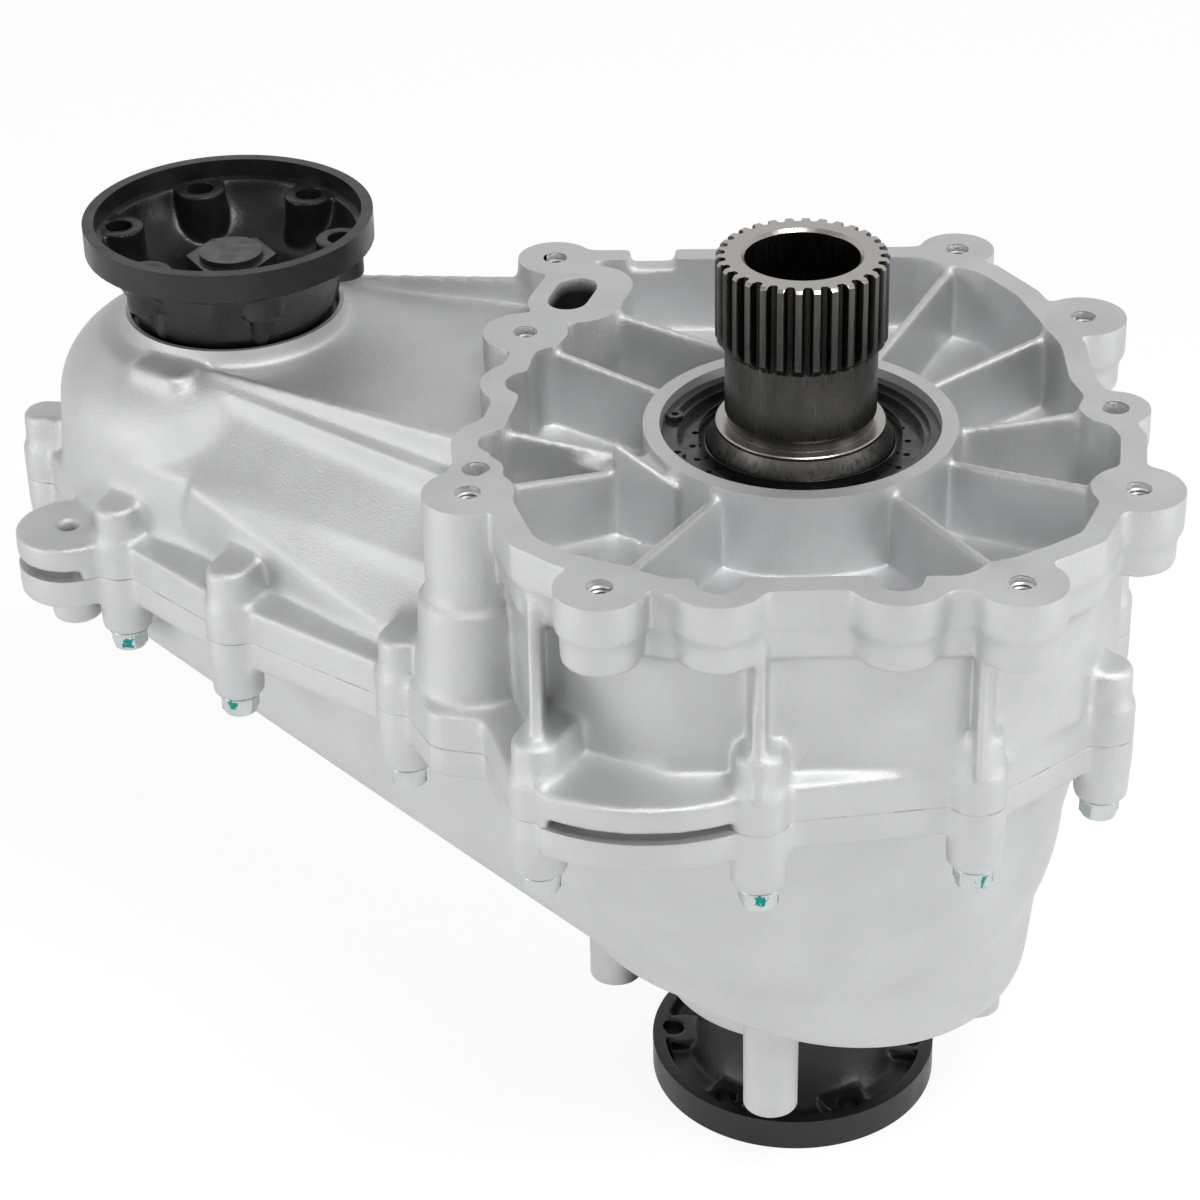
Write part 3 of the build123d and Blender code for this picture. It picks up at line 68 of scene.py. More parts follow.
MAIN_AXIS = (0.0, 0.0)
FRONT_AXIS = Vector(MOUNTS["front_flange_bolts"]["pos_m"])[:2]
ADAPTER_Z = MOUNTS["gearbox_face"]["pos_m"][2]
JOINT_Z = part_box("front_case")[0].z
RING_Z = ADAPTER_Z - 7.5 * MM
TOWER_Z = ADAPTER_Z - 9 * MM
NOSE_Z = 48 * MM
POST_FOOT_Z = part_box("rear_case")[0].z
BOLT_FOOT_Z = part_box("case_bolts")[0].z
SHAFT_TOP_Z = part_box("input_shaft")[1].z
CUP_LIP_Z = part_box("front_flange")[1].z
REAR_RIM_Z = 13 * MM

# Radii and depths of what is machined into the castings

EVERYWHERE = 1.0
HOLE_MOUTH = 0.8 * MM
TAP_RADIUS, TAP_DEPTH, POST_TAP_DEPTH = 4.25 * MM, 24 * MM, 22 * MM
THREAD_RADIUS, THREAD_PITCH, THREAD_LENGTH = 4.35 * MM, 1.5 * MM, 15 * MM
DOWEL_RADIUS = 4.6 * MM
RING_RADIUS, TOWER_RADIUS, NOSE_RADIUS = 57 * MM, 43 * MM, 52 * MM
RING_BORE_RADIUS, RING_BORE_DEPTH = 49.3 * MM, 15 * MM
FRONT_SEAL_RADIUS, FRONT_SEAL_DEPTH = 39 * MM, 11 * MM
REAR_SEAL_RADIUS, REAR_SEAL_DEPTH = 38 * MM, 9 * MM
CUP_REGISTER_RADIUS, CUP_REGISTER_DEPTH = 50 * MM, 7.4 * MM
CUP_RIM_RADIUS, CUP_RIM_DEPTH = 54.3 * MM, 11 * MM
REAR_RIM_RADIUS = 55 * MM

# Turning points of the shaft's collar, under the bearing ring's face, and of its inner end

COLLAR_RADIUS = 33 * MM
COLLAR_TOP_RADIUS = 30 * MM
COLLAR_SLOPE = 6 * MM
COLLAR_DEPTH = 15 * MM
SEAT_RADIUS, SEAT_Z = 27.5 * MM, 240 * MM
TAIL_RADIUS, TAIL_Z = 22 * MM, 137 * MM
HOLLOW_Z = 252 * MM

# Colours that no setting changes

SCUFF_COLOUR = (0.1, 0.097, 0.093)
# Painted shade for the insides of the holes and the oil slot in the gearbox face
HOLE_SHADE_COLOUR = (0.06, 0.058, 0.055)
ZINC_DARK, ZINC_LIGHT = (0.5, 0.55, 0.54), (0.68, 0.72, 0.71)


# Small helpers for node trees

def socket_pair(tree, value, socket):
    """Link a socket, or set a plain value."""
    if isinstance(value, bpy.types.NodeSocket):
        tree.links.new(value, socket)
    else:
        socket.default_value = value


def add_node(tree, kind, values=None, **settings):
    """New node with its settings, and its inputs linked or set by name or index."""
    node = tree.nodes.new(kind)
    for key, value in settings.items():
        setattr(node, key, value)
    for key, value in (values or {}).items():
        socket_pair(tree, value, node.inputs[key])
    return node


def calculate(tree, operation, first, second=0.0):
    """Math node."""
    return add_node(tree, "ShaderNodeMath", {0: first, 1: second}, operation=operation).outputs[0]


def object_point(tree):
    """Object coordinates of the surface."""
    return add_node(tree, "ShaderNodeTexCoord").outputs["Object"]


def height_of(tree, vector):
    """Z of a point or of a direction."""
    return add_node(tree, "ShaderNodeSeparateXYZ", {0: vector}).outputs["Z"]


def rise_of_surface(tree):
    """Z of the way the surface faces."""
    return height_of(tree, add_node(tree, "ShaderNodeNewGeometry").outputs["True Normal"])


def in_plan(tree, point):
    """Point without its height."""
    values = {0: point, 1: (1.0, 1.0, 0.0)}
    return add_node(tree, "ShaderNodeVectorMath", values, operation="MULTIPLY").outputs[0]


def distance_to(tree, point, spot):
    """Distance from a point to a fixed spot."""
    return add_node(tree, "ShaderNodeVectorMath", {0: point, 1: spot}, operation="DISTANCE").outputs["Value"]


def stretched(tree, point, scale):
    """Point with its axes scaled, which draws a noise out into marks."""
    return add_node(tree, "ShaderNodeMapping", {"Vector": point, "Scale": scale}).outputs[0]


def noise_at(tree, point, size, detail=3.0, roughness=0.55):
    """Noise whose features have about the given size, in metres."""
    values = {"Vector": point, "Scale": 1.0 / size, "Detail": detail, "Roughness": roughness}
    return add_node(tree, "ShaderNodeTexNoise", values).outputs["Fac"]


def between(tree, factor, low, high, from_low=0.0, from_high=1.0):
    """Number that runs from low to high as the factor runs over its range."""
    values = {"Value": factor, "From Min": from_low, "From Max": from_high, "To Min": low, "To Max": high}
    return add_node(tree, "ShaderNodeMapRange", values).outputs["Result"]


def over_noise(tree, noise, low, high):
    """Number that runs from low to high over the usual range of a noise."""
    return between(tree, noise, low, high, 0.3, 0.7)


def dimmed(colour, share):
    """Darker shade of a colour."""
    return tuple(share * c for c in colour)


def mixed_colour(tree, factor, first, second):
    """Colour between two colours or colour sockets."""
    node = tree.nodes.new("ShaderNodeMix")
    node.data_type = "RGBA"
    socket_pair(tree, factor, node.inputs[0])
    for value, socket in ((first, node.inputs[6]), (second, node.inputs[7])):
        socket_pair(tree, value if isinstance(value, bpy.types.NodeSocket) else (*value, 1.0), socket)
    return node.outputs[2]


def bumped(tree, layers, start=None):
    """Chain of bump nodes over (height, strength, distance in metres) layers."""
    normal = start
    for height, strength, distance in layers:
        values = {"Height": height, "Strength": strength, "Distance": distance}
        if normal is not None:
            values["Normal"] = normal
        normal = add_node(tree, "ShaderNodeBump", values).outputs["Normal"]
    return normal


def edge_rounding(tree, radius, samples=4):
    """Normal with softened edges."""
    return add_node(tree, "ShaderNodeBevel", {"Radius": radius}, samples=samples).outputs["Normal"]


def new_finish(name, **fixed):
    """Empty material with one Principled shader; fixed sets its constant sockets."""
    material = bpy.data.materials.new(name)
    material.use_nodes = True
    tree = material.node_tree
    tree.nodes.clear()
    shader = tree.nodes.new("ShaderNodeBsdfPrincipled")
    output = tree.nodes.new("ShaderNodeOutputMaterial")
    tree.links.new(shader.outputs[0], output.inputs["Surface"])
    for key, value in fixed.items():
        shader.inputs[key.replace("_", " ")].default_value = value
    return material, tree, shader


def set_surface(tree, shader, colour, roughness, normal):
    """Link the colour, the roughness and the normal of a finish."""
    for name, value in (("Base Color", colour), ("Roughness", roughness), ("Normal", normal)):
        tree.links.new(value, shader.inputs[name])


def painted_hole_shade(tree, point):
    """Factor for painted shade: 1 deep inside the oil slot and the holes of the gearbox face, fading out towards
    their mouths.
    """
    plan = in_plan(tree, point)
    total = 0.0
    for x, y, reach in DEEP_PLACES:
        inside = between(tree, distance_to(tree, plan, (x, y, 0.0)), 1.0, 0.0, reach - 0.3 * MM, reach)
        total = calculate(tree, "MAXIMUM", total, inside)
    height = height_of(tree, point)
    depth = between(tree, height, 1.0, 0.0, ADAPTER_Z - 6 * MM, ADAPTER_Z - 1.2 * MM)
    depth = calculate(tree, "MULTIPLY", depth, calculate(tree, "GREATER_THAN", height, ADAPTER_Z - 27 * MM))
    return calculate(tree, "MULTIPLY", total, depth)


def joint_line(tree, point):
    """Factor that is 1 on the scuffed line where the two halves meet, on upright surfaces."""
    gap = calculate(tree, "ABSOLUTE", calculate(tree, "SUBTRACT", height_of(tree, point), JOINT_Z))
    line = between(tree, gap, 1.0, 0.0, 0.1 * MM, 0.4 * MM)
    worn = between(tree, noise_at(tree, point, 16 * MM, 4.0, 0.65), 0.3, 1.0, 0.5, 0.58)
    upright = between(tree, calculate(tree, "ABSOLUTE", rise_of_surface(tree)), 0.75, 0.0, 0.0, 0.4)
    return calculate(tree, "MULTIPLY", calculate(tree, "MULTIPLY", line, worn), upright)


# Finishes

def cast_alloy(look):
    """Blasted aluminium casting: fine grain, faint flow marks, a scuffed joint line and painted shade in the
    holes and oil slot of the gearbox face.
    """
    material, tree, shader = new_finish("cast_alloy", Metallic=0.92, Specular_IOR_Level=0.5)
    point = object_point(tree)
    grain = noise_at(tree, point, look.grain_size, 4.0, 0.7)
    cloud = calculate(tree, "MULTIPLY", noise_at(tree, point, 40 * look.grain_size), 0.6)
    patches = noise_at(tree, point, 9 * look.grain_size, 2.0)
    shade = calculate(tree, "ADD", cloud, calculate(tree, "MULTIPLY", grain, 0.4))
    light = tuple(look.cast_colour)
    colour = mixed_colour(tree, over_noise(tree, shade, 0.0, 1.0), dimmed(light, 0.84), light)
    colour = mixed_colour(tree, joint_line(tree, point), colour, SCUFF_COLOUR)
    # Painted shade: the holes and the oil slot of the gearbox face darken below their mouths
    colour = mixed_colour(tree, painted_hole_shade(tree, point), colour, HOLE_SHADE_COLOUR)
    roughness = over_noise(tree, shade, look.cast_roughness - 0.06, look.cast_roughness + 0.08)
    set_surface(tree, shader, colour, roughness,
                bumped(tree, [(patches, 0.1, 0.4 * MM), (grain, 1.0, 0.28 * MM)]))
    return material


def machined_alloy(look):
    """Milled aluminium face: paler, with fine cutter marks."""
    material, tree, shader = new_finish("machined_alloy", Metallic=0.92, Specular_IOR_Level=0.5)
    point = object_point(tree)
    marks = noise_at(tree, stretched(tree, point, (1.0, 14.0, 1.0)), 4 * MM, 3.0, 0.6)
    light = tuple(look.machined_colour)
    colour = mixed_colour(tree, noise_at(tree, point, 22 * MM, 2.0), dimmed(light, 0.93), light)
    set_surface(tree, shader, colour, over_noise(tree, marks, 0.3, 0.42),
                bumped(tree, [(marks, 0.15, 0.06 * MM)]))
    return material


def black_coat(look):
    """Thin black coating on a rough forging."""
    material, tree, shader = new_finish("black_coat", Metallic=0.0, Specular_IOR_Level=0.5)
    point = object_point(tree)
    pebble = noise_at(tree, point, 1.6 * MM, 2.0, 0.5)
    cloud = noise_at(tree, point, 14 * MM)
    light = tuple(look.coat_colour)
    set_surface(tree, shader, mixed_colour(tree, cloud, dimmed(light, 0.6), light),
                over_noise(tree, cloud, 0.26, 0.46), bumped(tree, [(pebble, 0.35, 0.25 * MM)]))
    return material


def shaft_shade(tree, point, look):
    """Factor for the shade in the shaft's spline grooves and in its hollow."""
    reach = distance_to(tree, in_plan(tree, point), (0.0, 0.0, 0.0))
    above = calculate(tree, "GREATER_THAN", height_of(tree, point), SHAFT_TOP_Z - look.spline_length)
    groove = between(tree, reach, 1.0, 0.0, look.root_radius - 0.3 * MM, look.tip_radius - 0.4 * MM)
    hollow = calculate(tree, "LESS_THAN", reach, look.bore_radius + 1 * MM)
    outside = calculate(tree, "SUBTRACT", 1.0, hollow)
    groove = calculate(tree, "MULTIPLY", calculate(tree, "MULTIPLY", groove, above), outside)
    return calculate(tree, "MAXIMUM", groove, calculate(tree, "MULTIPLY", hollow, 0.5))


def hardened_steel(look):
    """Dark, oiled shaft steel, with its end and its collar ground bright."""
    material, tree, shader = new_finish("hardened_steel", Metallic=1.0)
    point = object_point(tree)
    streaks = noise_at(tree, stretched(tree, point, (1.0, 1.0, 0.15)), 1.2 * MM, 3.0, 0.6)
    light = tuple(look.steel_colour)
    colour = mixed_colour(tree, noise_at(tree, point, 12 * MM), dimmed(light, 0.75), light)
    ground = between(tree, rise_of_surface(tree), 0.0, 1.0, 0.15, 0.4)
    dull = calculate(tree, "SUBTRACT", 1.0, ground)
    shade = calculate(tree, "MULTIPLY", shaft_shade(tree, point, look), dull)
    colour = mixed_colour(tree, shade, colour, dimmed(light, 0.22))
    colour = mixed_colour(tree, ground, colour, tuple(look.ground_colour))
    set_surface(tree, shader, colour, over_noise(tree, streaks, 0.24, 0.38),
                bumped(tree, [(streaks, 0.1, 0.03 * MM)], edge_rounding(tree, 0.3 * MM)))
    return material


def ground_steel(name, colour, rough_low, rough_high):
    """Plain turned or ground steel in one tone."""
    material, tree, shader = new_finish(name, Metallic=1.0)
    cloud = noise_at(tree, object_point(tree), 3 * MM, 4.0, 0.6)
    set_surface(tree, shader, mixed_colour(tree, cloud, dimmed(colour, 0.85), colour),
                over_noise(tree, cloud, rough_low, rough_high),
                bumped(tree, [(cloud, 0.06, 0.03 * MM)], edge_rounding(tree, 0.25 * MM)))
    return material


def oiled_black(name, colour, rough_low, rough_high):
    """Black phosphated or moulded surface with an oil film."""
    material, tree, shader = new_finish(name, Metallic=0.0, Coat_Weight=0.3, Coat_Roughness=0.15)
    point = object_point(tree)
    film = noise_at(tree, point, 6 * MM)
    speck = noise_at(tree, point, 0.7 * MM, 2.0)
    set_surface(tree, shader, mixed_colour(tree, film, dimmed(colour, 0.5), colour),
                between(tree, film, rough_low, rough_high, 0.35, 0.65),
                bumped(tree, [(speck, 0.15, 0.06 * MM)], edge_rounding(tree, 0.3 * MM)))
    return material


def paint_dabs(tree, point, edge):
    """Factor that is 1 on the dabs of inspection paint, whose outlines are ragged."""
    total, wander = 0.0, over_noise(tree, edge, -1.6 * MM, 1.6 * MM)
    for spot in PAINT_DABS:
        ragged = calculate(tree, "ADD", distance_to(tree, point, spot), wander)
        total = calculate(tree, "MAXIMUM", between(tree, ragged, 1.0, 0.0, 2 * MM, 2.5 * MM), total)
    return total


def zinc_plate(look):
    """Bright zinc on the bolts, with dabs of inspection paint on some heads."""
    material, tree, shader = new_finish("zinc_plate", Metallic=0.95)
    point = object_point(tree)
    cloud = noise_at(tree, point, 6 * MM, 2.0)
    edge = noise_at(tree, point, 1.5 * MM, 2.0)
    colour = mixed_colour(tree, cloud, ZINC_DARK, ZINC_LIGHT)
    colour = mixed_colour(tree, paint_dabs(tree, point, edge), colour, tuple(look.paint_colour))
    set_surface(tree, shader, colour, over_noise(tree, cloud, 0.22, 0.36),
                bumped(tree, [(edge, 0.03, 0.03 * MM)], edge_rounding(tree, 0.3 * MM)))
    return material


# Mesh helpers

class CutFace(NamedTuple):
    """Face milled at a height within a radius of an upright axis; side is 1 where the metal lies below."""
    height: float
    side: int
    centre: tuple
    radius: float


class CutBore(NamedTuple):
    """Upright bore between two heights."""
    centre: tuple
    radius: float
    low: float
    high: float


@contextmanager
def opened(mesh):
    """Edit a mesh in place through bmesh."""
    shell = bmesh.new()
    shell.from_mesh(mesh)
    yield shell
    shell.to_mesh(mesh)
    shell.free()


def in_scene(name, data):
    """New object with its data, linked to the scene."""
    thing = bpy.data.objects.new(name, data)
    bpy.context.scene.collection.objects.link(thing)
    return thing


def new_piece(name, mesh, body, *finishes):
    """Piece at the origin that rides on a body."""
    mesh.materials.clear()
    for material in finishes:
        mesh.materials.append(finish(material))
    piece = in_scene(name, mesh)
    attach(piece, body)
    return piece


def mesh_from(name, points, faces):
    """Mesh with outward normals from points and faces."""
    mesh = bpy.data.meshes.new(name)
    mesh.from_pydata([tuple(p) for p in points], [], faces)
    with opened(mesh) as shell:
        bmesh.ops.remove_doubles(shell, verts=shell.verts, dist=1e-4 * MM)
        bmesh.ops.recalc_face_normals(shell, faces=shell.faces)
    return mesh


def welded_copy(node):
    """Copy of a CAD node's mesh with its loose triangles joined."""
    mesh = NODES[node].data.copy()
    with opened(mesh) as shell:
        bmesh.ops.remove_doubles(shell, verts=shell.verts, dist=1e-3 * MM)
    return mesh


def smooth_by_angle(mesh, degrees_limit):
    """Smooth shading, with sharp edges past an angle."""
    mesh.shade_smooth()
    mesh.set_sharp_from_angle(angle=radians(degrees_limit))


def baked_modifiers(piece):
    """Replace an object's mesh by what its modifiers make of it."""
    graph = bpy.context.evaluated_depsgraph_get()
    mesh = bpy.data.meshes.new_from_object(piece.evaluated_get(graph))
    piece.modifiers.clear()
    piece.data = mesh
    return mesh


def ring_skin(columns, rows):
    """Faces between columns of points that stand round an axis, each column a closed loop of rows points."""
    faces = []
    for k in range(columns):
        here, there = k * rows, (k + 1) % columns * rows
        faces += [(here + j, there + j, there + (j + 1) % rows, here + (j + 1) % rows) for j in range(rows)]
    return faces


def turned_profile(points, columns):
    """Points and faces of a closed profile of (radius, height) turned round the main axis."""
    angles = [2 * pi * k / columns for k in range(columns)]
    ring = [(r * cos(a), r * sin(a), z) for a in angles for r, z in points]
    return ring, ring_skin(columns, len(points))


def read_array(items, name, width, kind=float):
    """Array of one property of a mesh's points, edges or faces."""
    values = np.empty(len(items) * width, dtype=kind)
    items.foreach_get(name, values)
    return values.reshape(-1, width)


def get_points(mesh):
    """Array of a mesh's points."""
    return read_array(mesh.vertices, "co", 3)


def set_points(mesh, points):
    """Move a mesh's points."""
    mesh.vertices.foreach_set("co", points.ravel())
    mesh.update()


def reach_from(points, centre):
    """Distance of points from an upright axis."""
    return np.hypot(points[:, 0] - centre[0], points[:, 1] - centre[1])


def neighbour_share(points, edges):
    """One over the number of each point's neighbours."""
    return 1.0 / np.maximum(np.bincount(edges.ravel(), minlength=len(points)), 1)


def way_to_neighbours(points, edges, share):
    """Way from each point to the middle of its neighbours."""
    way = np.empty_like(points)
    for axis in range(3):
        column = points[:, axis]
        near = np.bincount(edges[:, 0], column[edges[:, 1]], len(points))
        near += np.bincount(edges[:, 1], column[edges[:, 0]], len(points))
        way[:, axis] = near * share - column
    return way


def softened(points, edges, steps):
    """Points pulled towards their neighbours, which rounds every edge."""
    share = neighbour_share(points, edges)
    for _ in range(steps):
        points += 0.5 * way_to_neighbours(points, edges, share)
    return points


def outward_at(points, quads):
    """Outward direction at each point of a mesh of quads."""
    corners = points[quads]
    across = np.cross(corners[:, 2] - corners[:, 0], corners[:, 3] - corners[:, 1])
    normals = np.empty_like(points)
    for axis in range(3):
        normals[:, axis] = np.bincount(quads.ravel(), np.repeat(across[:, axis], 4), len(points))
    return normals / np.maximum(np.linalg.norm(normals, axis=1, keepdims=True), 1e-20)


def filled_corners(points, edges, quads, steps, held):
    """Points moved outward only, which lays a fillet in every inner corner; held points stay."""
    share = neighbour_share(points, edges)
    for _ in range(steps):
        way = way_to_neighbours(points, edges, share)
        normals = outward_at(points, quads)
        step = np.maximum((way * normals).sum(axis=1), 0.0)
        step[held] = 0.0
        points += 0.6 * step[:, None] * normals
    return points


def join_forms(mesh, forms):
    """Add convex forms, each given by its corner points in millimetres, to a mesh."""
    with opened(mesh) as shell:
        for corners in forms:
            form = bmesh.new()
            for corner in corners:
                form.verts.new([c * MM for c in corner])
            bmesh.ops.convex_hull(form, input=form.verts)
            scrap = bpy.data.meshes.new("form")
            form.to_mesh(scrap)
            form.free()
            shell.from_mesh(scrap)
            bpy.data.meshes.remove(scrap)


def voxel_surface(mesh, voxel):
    """Scratch object that holds a mesh rebuilt from even cells."""
    scratch = in_scene("scratch", mesh)
    remesh = scratch.modifiers.new("voxels", "REMESH")
    remesh.mode = "VOXEL"
    remesh.voxel_size = voxel
    baked_modifiers(scratch)
    return scratch


def true_bore(points, bore, voxel, lift, mouth):
    """Put the points of a bore's wall on its radius, flared at its mouth."""
    reach, height = reach_from(points, bore.centre), points[:, 2]
    on_wall = (abs(reach - bore.radius) < voxel) & (height > bore.low) & (height < bore.high + lift)
    flare = np.clip(mouth - abs(bore.high - points[on_wall, 2]), 0.0, mouth)
    stretch = (bore.radius + flare) / reach[on_wall]
    for axis in (0, 1):
        points[on_wall, axis] = bore.centre[axis] + (points[on_wall, axis] - bore.centre[axis]) * stretch


def true_face(points, face, lift):
    """Cut back the points that stand past a milled face."""
    past = face.side * (points[:, 2] - face.height)
    beyond = (past > 0) & (past < 1.5 * lift) & (reach_from(points, face.centre) < face.radius)
    points[beyond, 2] = face.height


def mark_milled(mesh, milled):
    """Give the milled faces of a mesh its second material."""
    heights = read_array(mesh.polygons, "center", 3)[:, 2]
    rises = read_array(mesh.polygons, "normal", 3)[:, 2]
    found = np.zeros(len(heights), dtype=bool)
    for face in milled:
        found |= (abs(heights - face.height) < 0.02 * MM) & (abs(rises) > 0.99)
    mesh.polygons.foreach_set("material_index", found.astype(np.int32))


def cast_copy(node, look, fillets, milled, bores, mouth=0.0, still=(0.0, 0.0), forms=()):
    """Mesh of a casting after its CAD node: edges rounded as the die leaves them, faces and bores cut true.

    Inner corners get a fillet over the given number of passes, apart from those between the two heights
    in still. mouth is the size of the bores' chamfer. forms holds the corners of further convex forms.
    """
    mesh = welded_copy(node)
    points = get_points(mesh)
    lift = 3 * look.voxel
    for face in milled:
        on_face = abs(points[:, 2] - face.height) < 0.01 * MM
        on_face &= reach_from(points, face.centre) < face.radius
        points[on_face, 2] += face.side * lift
    set_points(mesh, points)
    if forms:
        join_forms(mesh, forms)
    scratch = voxel_surface(mesh, look.voxel)
    mesh = scratch.data
    points = get_points(mesh)
    edges = read_array(mesh.edges, "vertices", 2, np.int64)
    quads = read_array(mesh.polygons, "vertices", 4, np.int64)
    held = (points[:, 2] > still[0]) & (points[:, 2] < still[1])
    for bore in bores:
        near = abs(reach_from(points, bore.centre) - bore.radius) < 2.5 * look.voxel
        held |= near & (points[:, 2] > bore.low)
    points = softened(points, edges, look.rounding // 2)
    points = filled_corners(points, edges, quads, fillets, held)
    points = softened(points, edges, look.rounding - look.rounding // 2)
    for bore in bores:
        true_bore(points, bore, look.voxel, lift, mouth)
    for face in milled:
        true_face(points, face, lift)
    set_points(mesh, points)
    thin = scratch.modifiers.new("thin", "DECIMATE")
    thin.ratio = min(1.0, look.triangles / (2 * len(mesh.polygons)))
    mesh = baked_modifiers(scratch)
    bpy.data.objects.remove(scratch)
    with opened(mesh) as shell:
        bmesh.ops.dissolve_degenerate(shell, edges=shell.edges, dist=0.02 * MM)
        bmesh.ops.triangulate(shell, faces=shell.faces)
    mark_milled(mesh, milled)
    smooth_by_angle(mesh, 38)
    return mesh


def copies_tree():
    """Geometry Nodes tree that puts copies of an item on a mesh's points, each at a random turn."""
    tree = bpy.data.node_groups.new("copies_on_points", "GeometryNodeTree")
    face = tree.interface
    face.new_socket("Geometry", in_out="INPUT", socket_type="NodeSocketGeometry")
    for label, kind in (("Item", "NodeSocketObject"), ("Material", "NodeSocketMaterial"),
                        ("Random Turn", "NodeSocketFloat"), ("Seed", "NodeSocketInt")):
        face.new_socket(label, in_out="INPUT", socket_type=kind)
    face.new_socket("Geometry", in_out="OUTPUT", socket_type="NodeSocketGeometry")
    source = tree.nodes.new("NodeGroupInput")
    item = add_node(tree, "GeometryNodeObjectInfo", {"Object": source.outputs["Item"]})
    chance = add_node(tree, "FunctionNodeRandomValue", {"Seed": source.outputs["Seed"]}, data_type="FLOAT")
    turn = calculate(tree, "MULTIPLY", chance.outputs[1], source.outputs["Random Turn"])
    euler = add_node(tree, "ShaderNodeCombineXYZ", {"Z": turn}).outputs[0]
    places = {"Points": source.outputs["Geometry"], "Instance": item.outputs["Geometry"], "Rotation": euler}
    placed = add_node(tree, "GeometryNodeInstanceOnPoints", places)
    real = add_node(tree, "GeometryNodeRealizeInstances", {0: placed.outputs[0]})
    dressed = add_node(tree, "GeometryNodeSetMaterial",
                       {"Geometry": real.outputs[0], "Material": source.outputs["Material"]})
    sink = tree.nodes.new("NodeGroupOutput")
    tree.links.new(dressed.outputs[0], sink.inputs[0])
    return tree


def copies(name, body, item_mesh, places, material, seed=7):
    """One piece of many copies of an item, each turned at random about its own upright axis."""
    tree = bpy.data.node_groups.get("copies_on_points") or copies_tree()
    item = in_scene(name + "_item", item_mesh)
    dots = bpy.data.meshes.new(name)
    dots.from_pydata([tuple(p) for p in places], [], [])
    piece = in_scene(name, dots)
    made = piece.modifiers.new("copies", "NODES")
    made.node_group = tree
    values = {"Item": item, "Material": finish(material), "Random Turn": 2 * pi, "Seed": seed}
    for socket in tree.interface.items_tree:
        if socket.in_out == "INPUT" and socket.name in values:
            made[socket.identifier] = values[socket.name]
    mesh = baked_modifiers(piece)
    bpy.data.objects.remove(item)
    smooth_by_angle(mesh, 35)
    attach(piece, body)
    return piece


# Places that several pieces share

def tapped_holes():
    """Plan centres of the tapped holes in the gearbox face."""
    return [tuple(MOUNTS[f"gearbox_bolt_{k}"]["pos_m"][:2]) for k in range(1, 9)]


def post_holes():
    """Plan centres of the tapped holes in the four posts."""
    circle = MOUNTS["post_bolts"]["dims"]
    radius, count = circle["pcd_mm"] / 2 * MM, circle["count"]
    turns = [POST_TURN + 2 * pi * k / count for k in range(count)]
    return [(radius * cos(t), radius * sin(t)) for t in turns]


def circle_holes(node, mount):
    """Plan centres of a bolt circle's holes, the first of them found on the CAD mesh."""
    centre = Vector(mount["pos_m"][:2])
    radius, count = mount["dims"]["pcd_mm"] / 2 * MM, mount["dims"]["count"]
    hole = mount["dims"]["hole_r_mm"] * MM
    points = get_points(NODES[node].data)
    wall = points[abs(reach_from(points, centre) - radius) < hole]
    best, first = 0, 0.0
    for k in range(360):
        turn = 2 * pi / count * k / 360
        spot = centre + Vector((cos(turn), sin(turn))) * radius
        found = int((abs(reach_from(wall, spot) - hole) < 0.03 * MM).sum())
        if found > best:
            best, first = found, turn
    turns = [first + 2 * pi * k / count for k in range(count)]
    return [tuple(centre + Vector((cos(t), sin(t))) * radius) for t in turns]


def joined_points(start, seen):
    """Places of all points that edges join to the first one."""
    group, queue = [], [start]
    seen.add(start.index)
    while queue:
        vert = queue.pop()
        group.append(vert.co.copy())
        for edge in vert.link_edges:
            other = edge.other_vert(vert)
            if other.index not in seen:
                seen.add(other.index)
                queue.append(other)
    return group


def bolt_axes():
    """Plan place of each joint bolt, from the separate solids of its node."""
    mesh = welded_copy("case_bolts")
    seen, axes = set(), []
    with opened(mesh) as shell:
        for start in shell.verts:
            if start.index not in seen:
                group = joined_points(start, seen)
                axes.append([(min(c[k] for c in group) + max(c[k] for c in group)) / 2 for k in (0, 1)])
    bpy.data.meshes.remove(mesh)
    return sorted(axes, key=lambda c: (round(c[0], 4), round(c[1], 4)))


POST_TURN = radians(-100.5)
SLOT_CENTRE = Vector((-0.0795, 0.091))
SLOT_HEADING = Vector((cos(radians(72)), sin(radians(72))))
SLOT_STEP = 3.2 * MM
# Spots of painted shade: the tapped holes, and five steps along the oil slot
DEEP_PLACES = [(x, y, 5.4 * MM) for x, y in tapped_holes()]
DEEP_PLACES += [(*(SLOT_CENTRE + SLOT_HEADING * k * SLOT_STEP), 8.6 * MM) for k in (-2, -1, 0, 1, 2)]
PAINT_DABS = [
    (-0.251, 0.040, 0.1745), (-0.2075, -0.008, 0.177), (0.0555, -0.1265, 0.175), (-0.021, -0.1355, 0.1765),
]


# Settings

class HousingLook(bpy.types.PropertyGroup):
    """Sizes and colours of the cast housing."""
    voxel: FloatProperty(name="Voxel", description="Cell size of the cast surface", default=0.95 * MM,
                         unit="LENGTH")
    rounding: IntProperty(name="Rounding", description="Passes that round the cast edges", default=10)
    fillets: IntProperty(name="Fillets", description="Passes that fill the inner corners", default=40)
    triangles: IntProperty(name="Triangles", description="Triangles kept in each half", default=180000)
    grain_size: FloatProperty(name="Grain", description="Size of the blasted grain", default=0.8 * MM,
                              unit="LENGTH")
    cast_roughness: FloatProperty(name="Roughness", description="Roughness of the blasted surface", default=0.5)
    cast_colour: FloatVectorProperty(name="Cast colour", description="Colour of the casting", size=3,
                                     subtype="COLOR", default=(0.69, 0.697, 0.703))
    machined_colour: FloatVectorProperty(name="Machined colour", description="Colour of the milled faces", size=3,
                                         subtype="COLOR", default=(0.86, 0.86, 0.86))


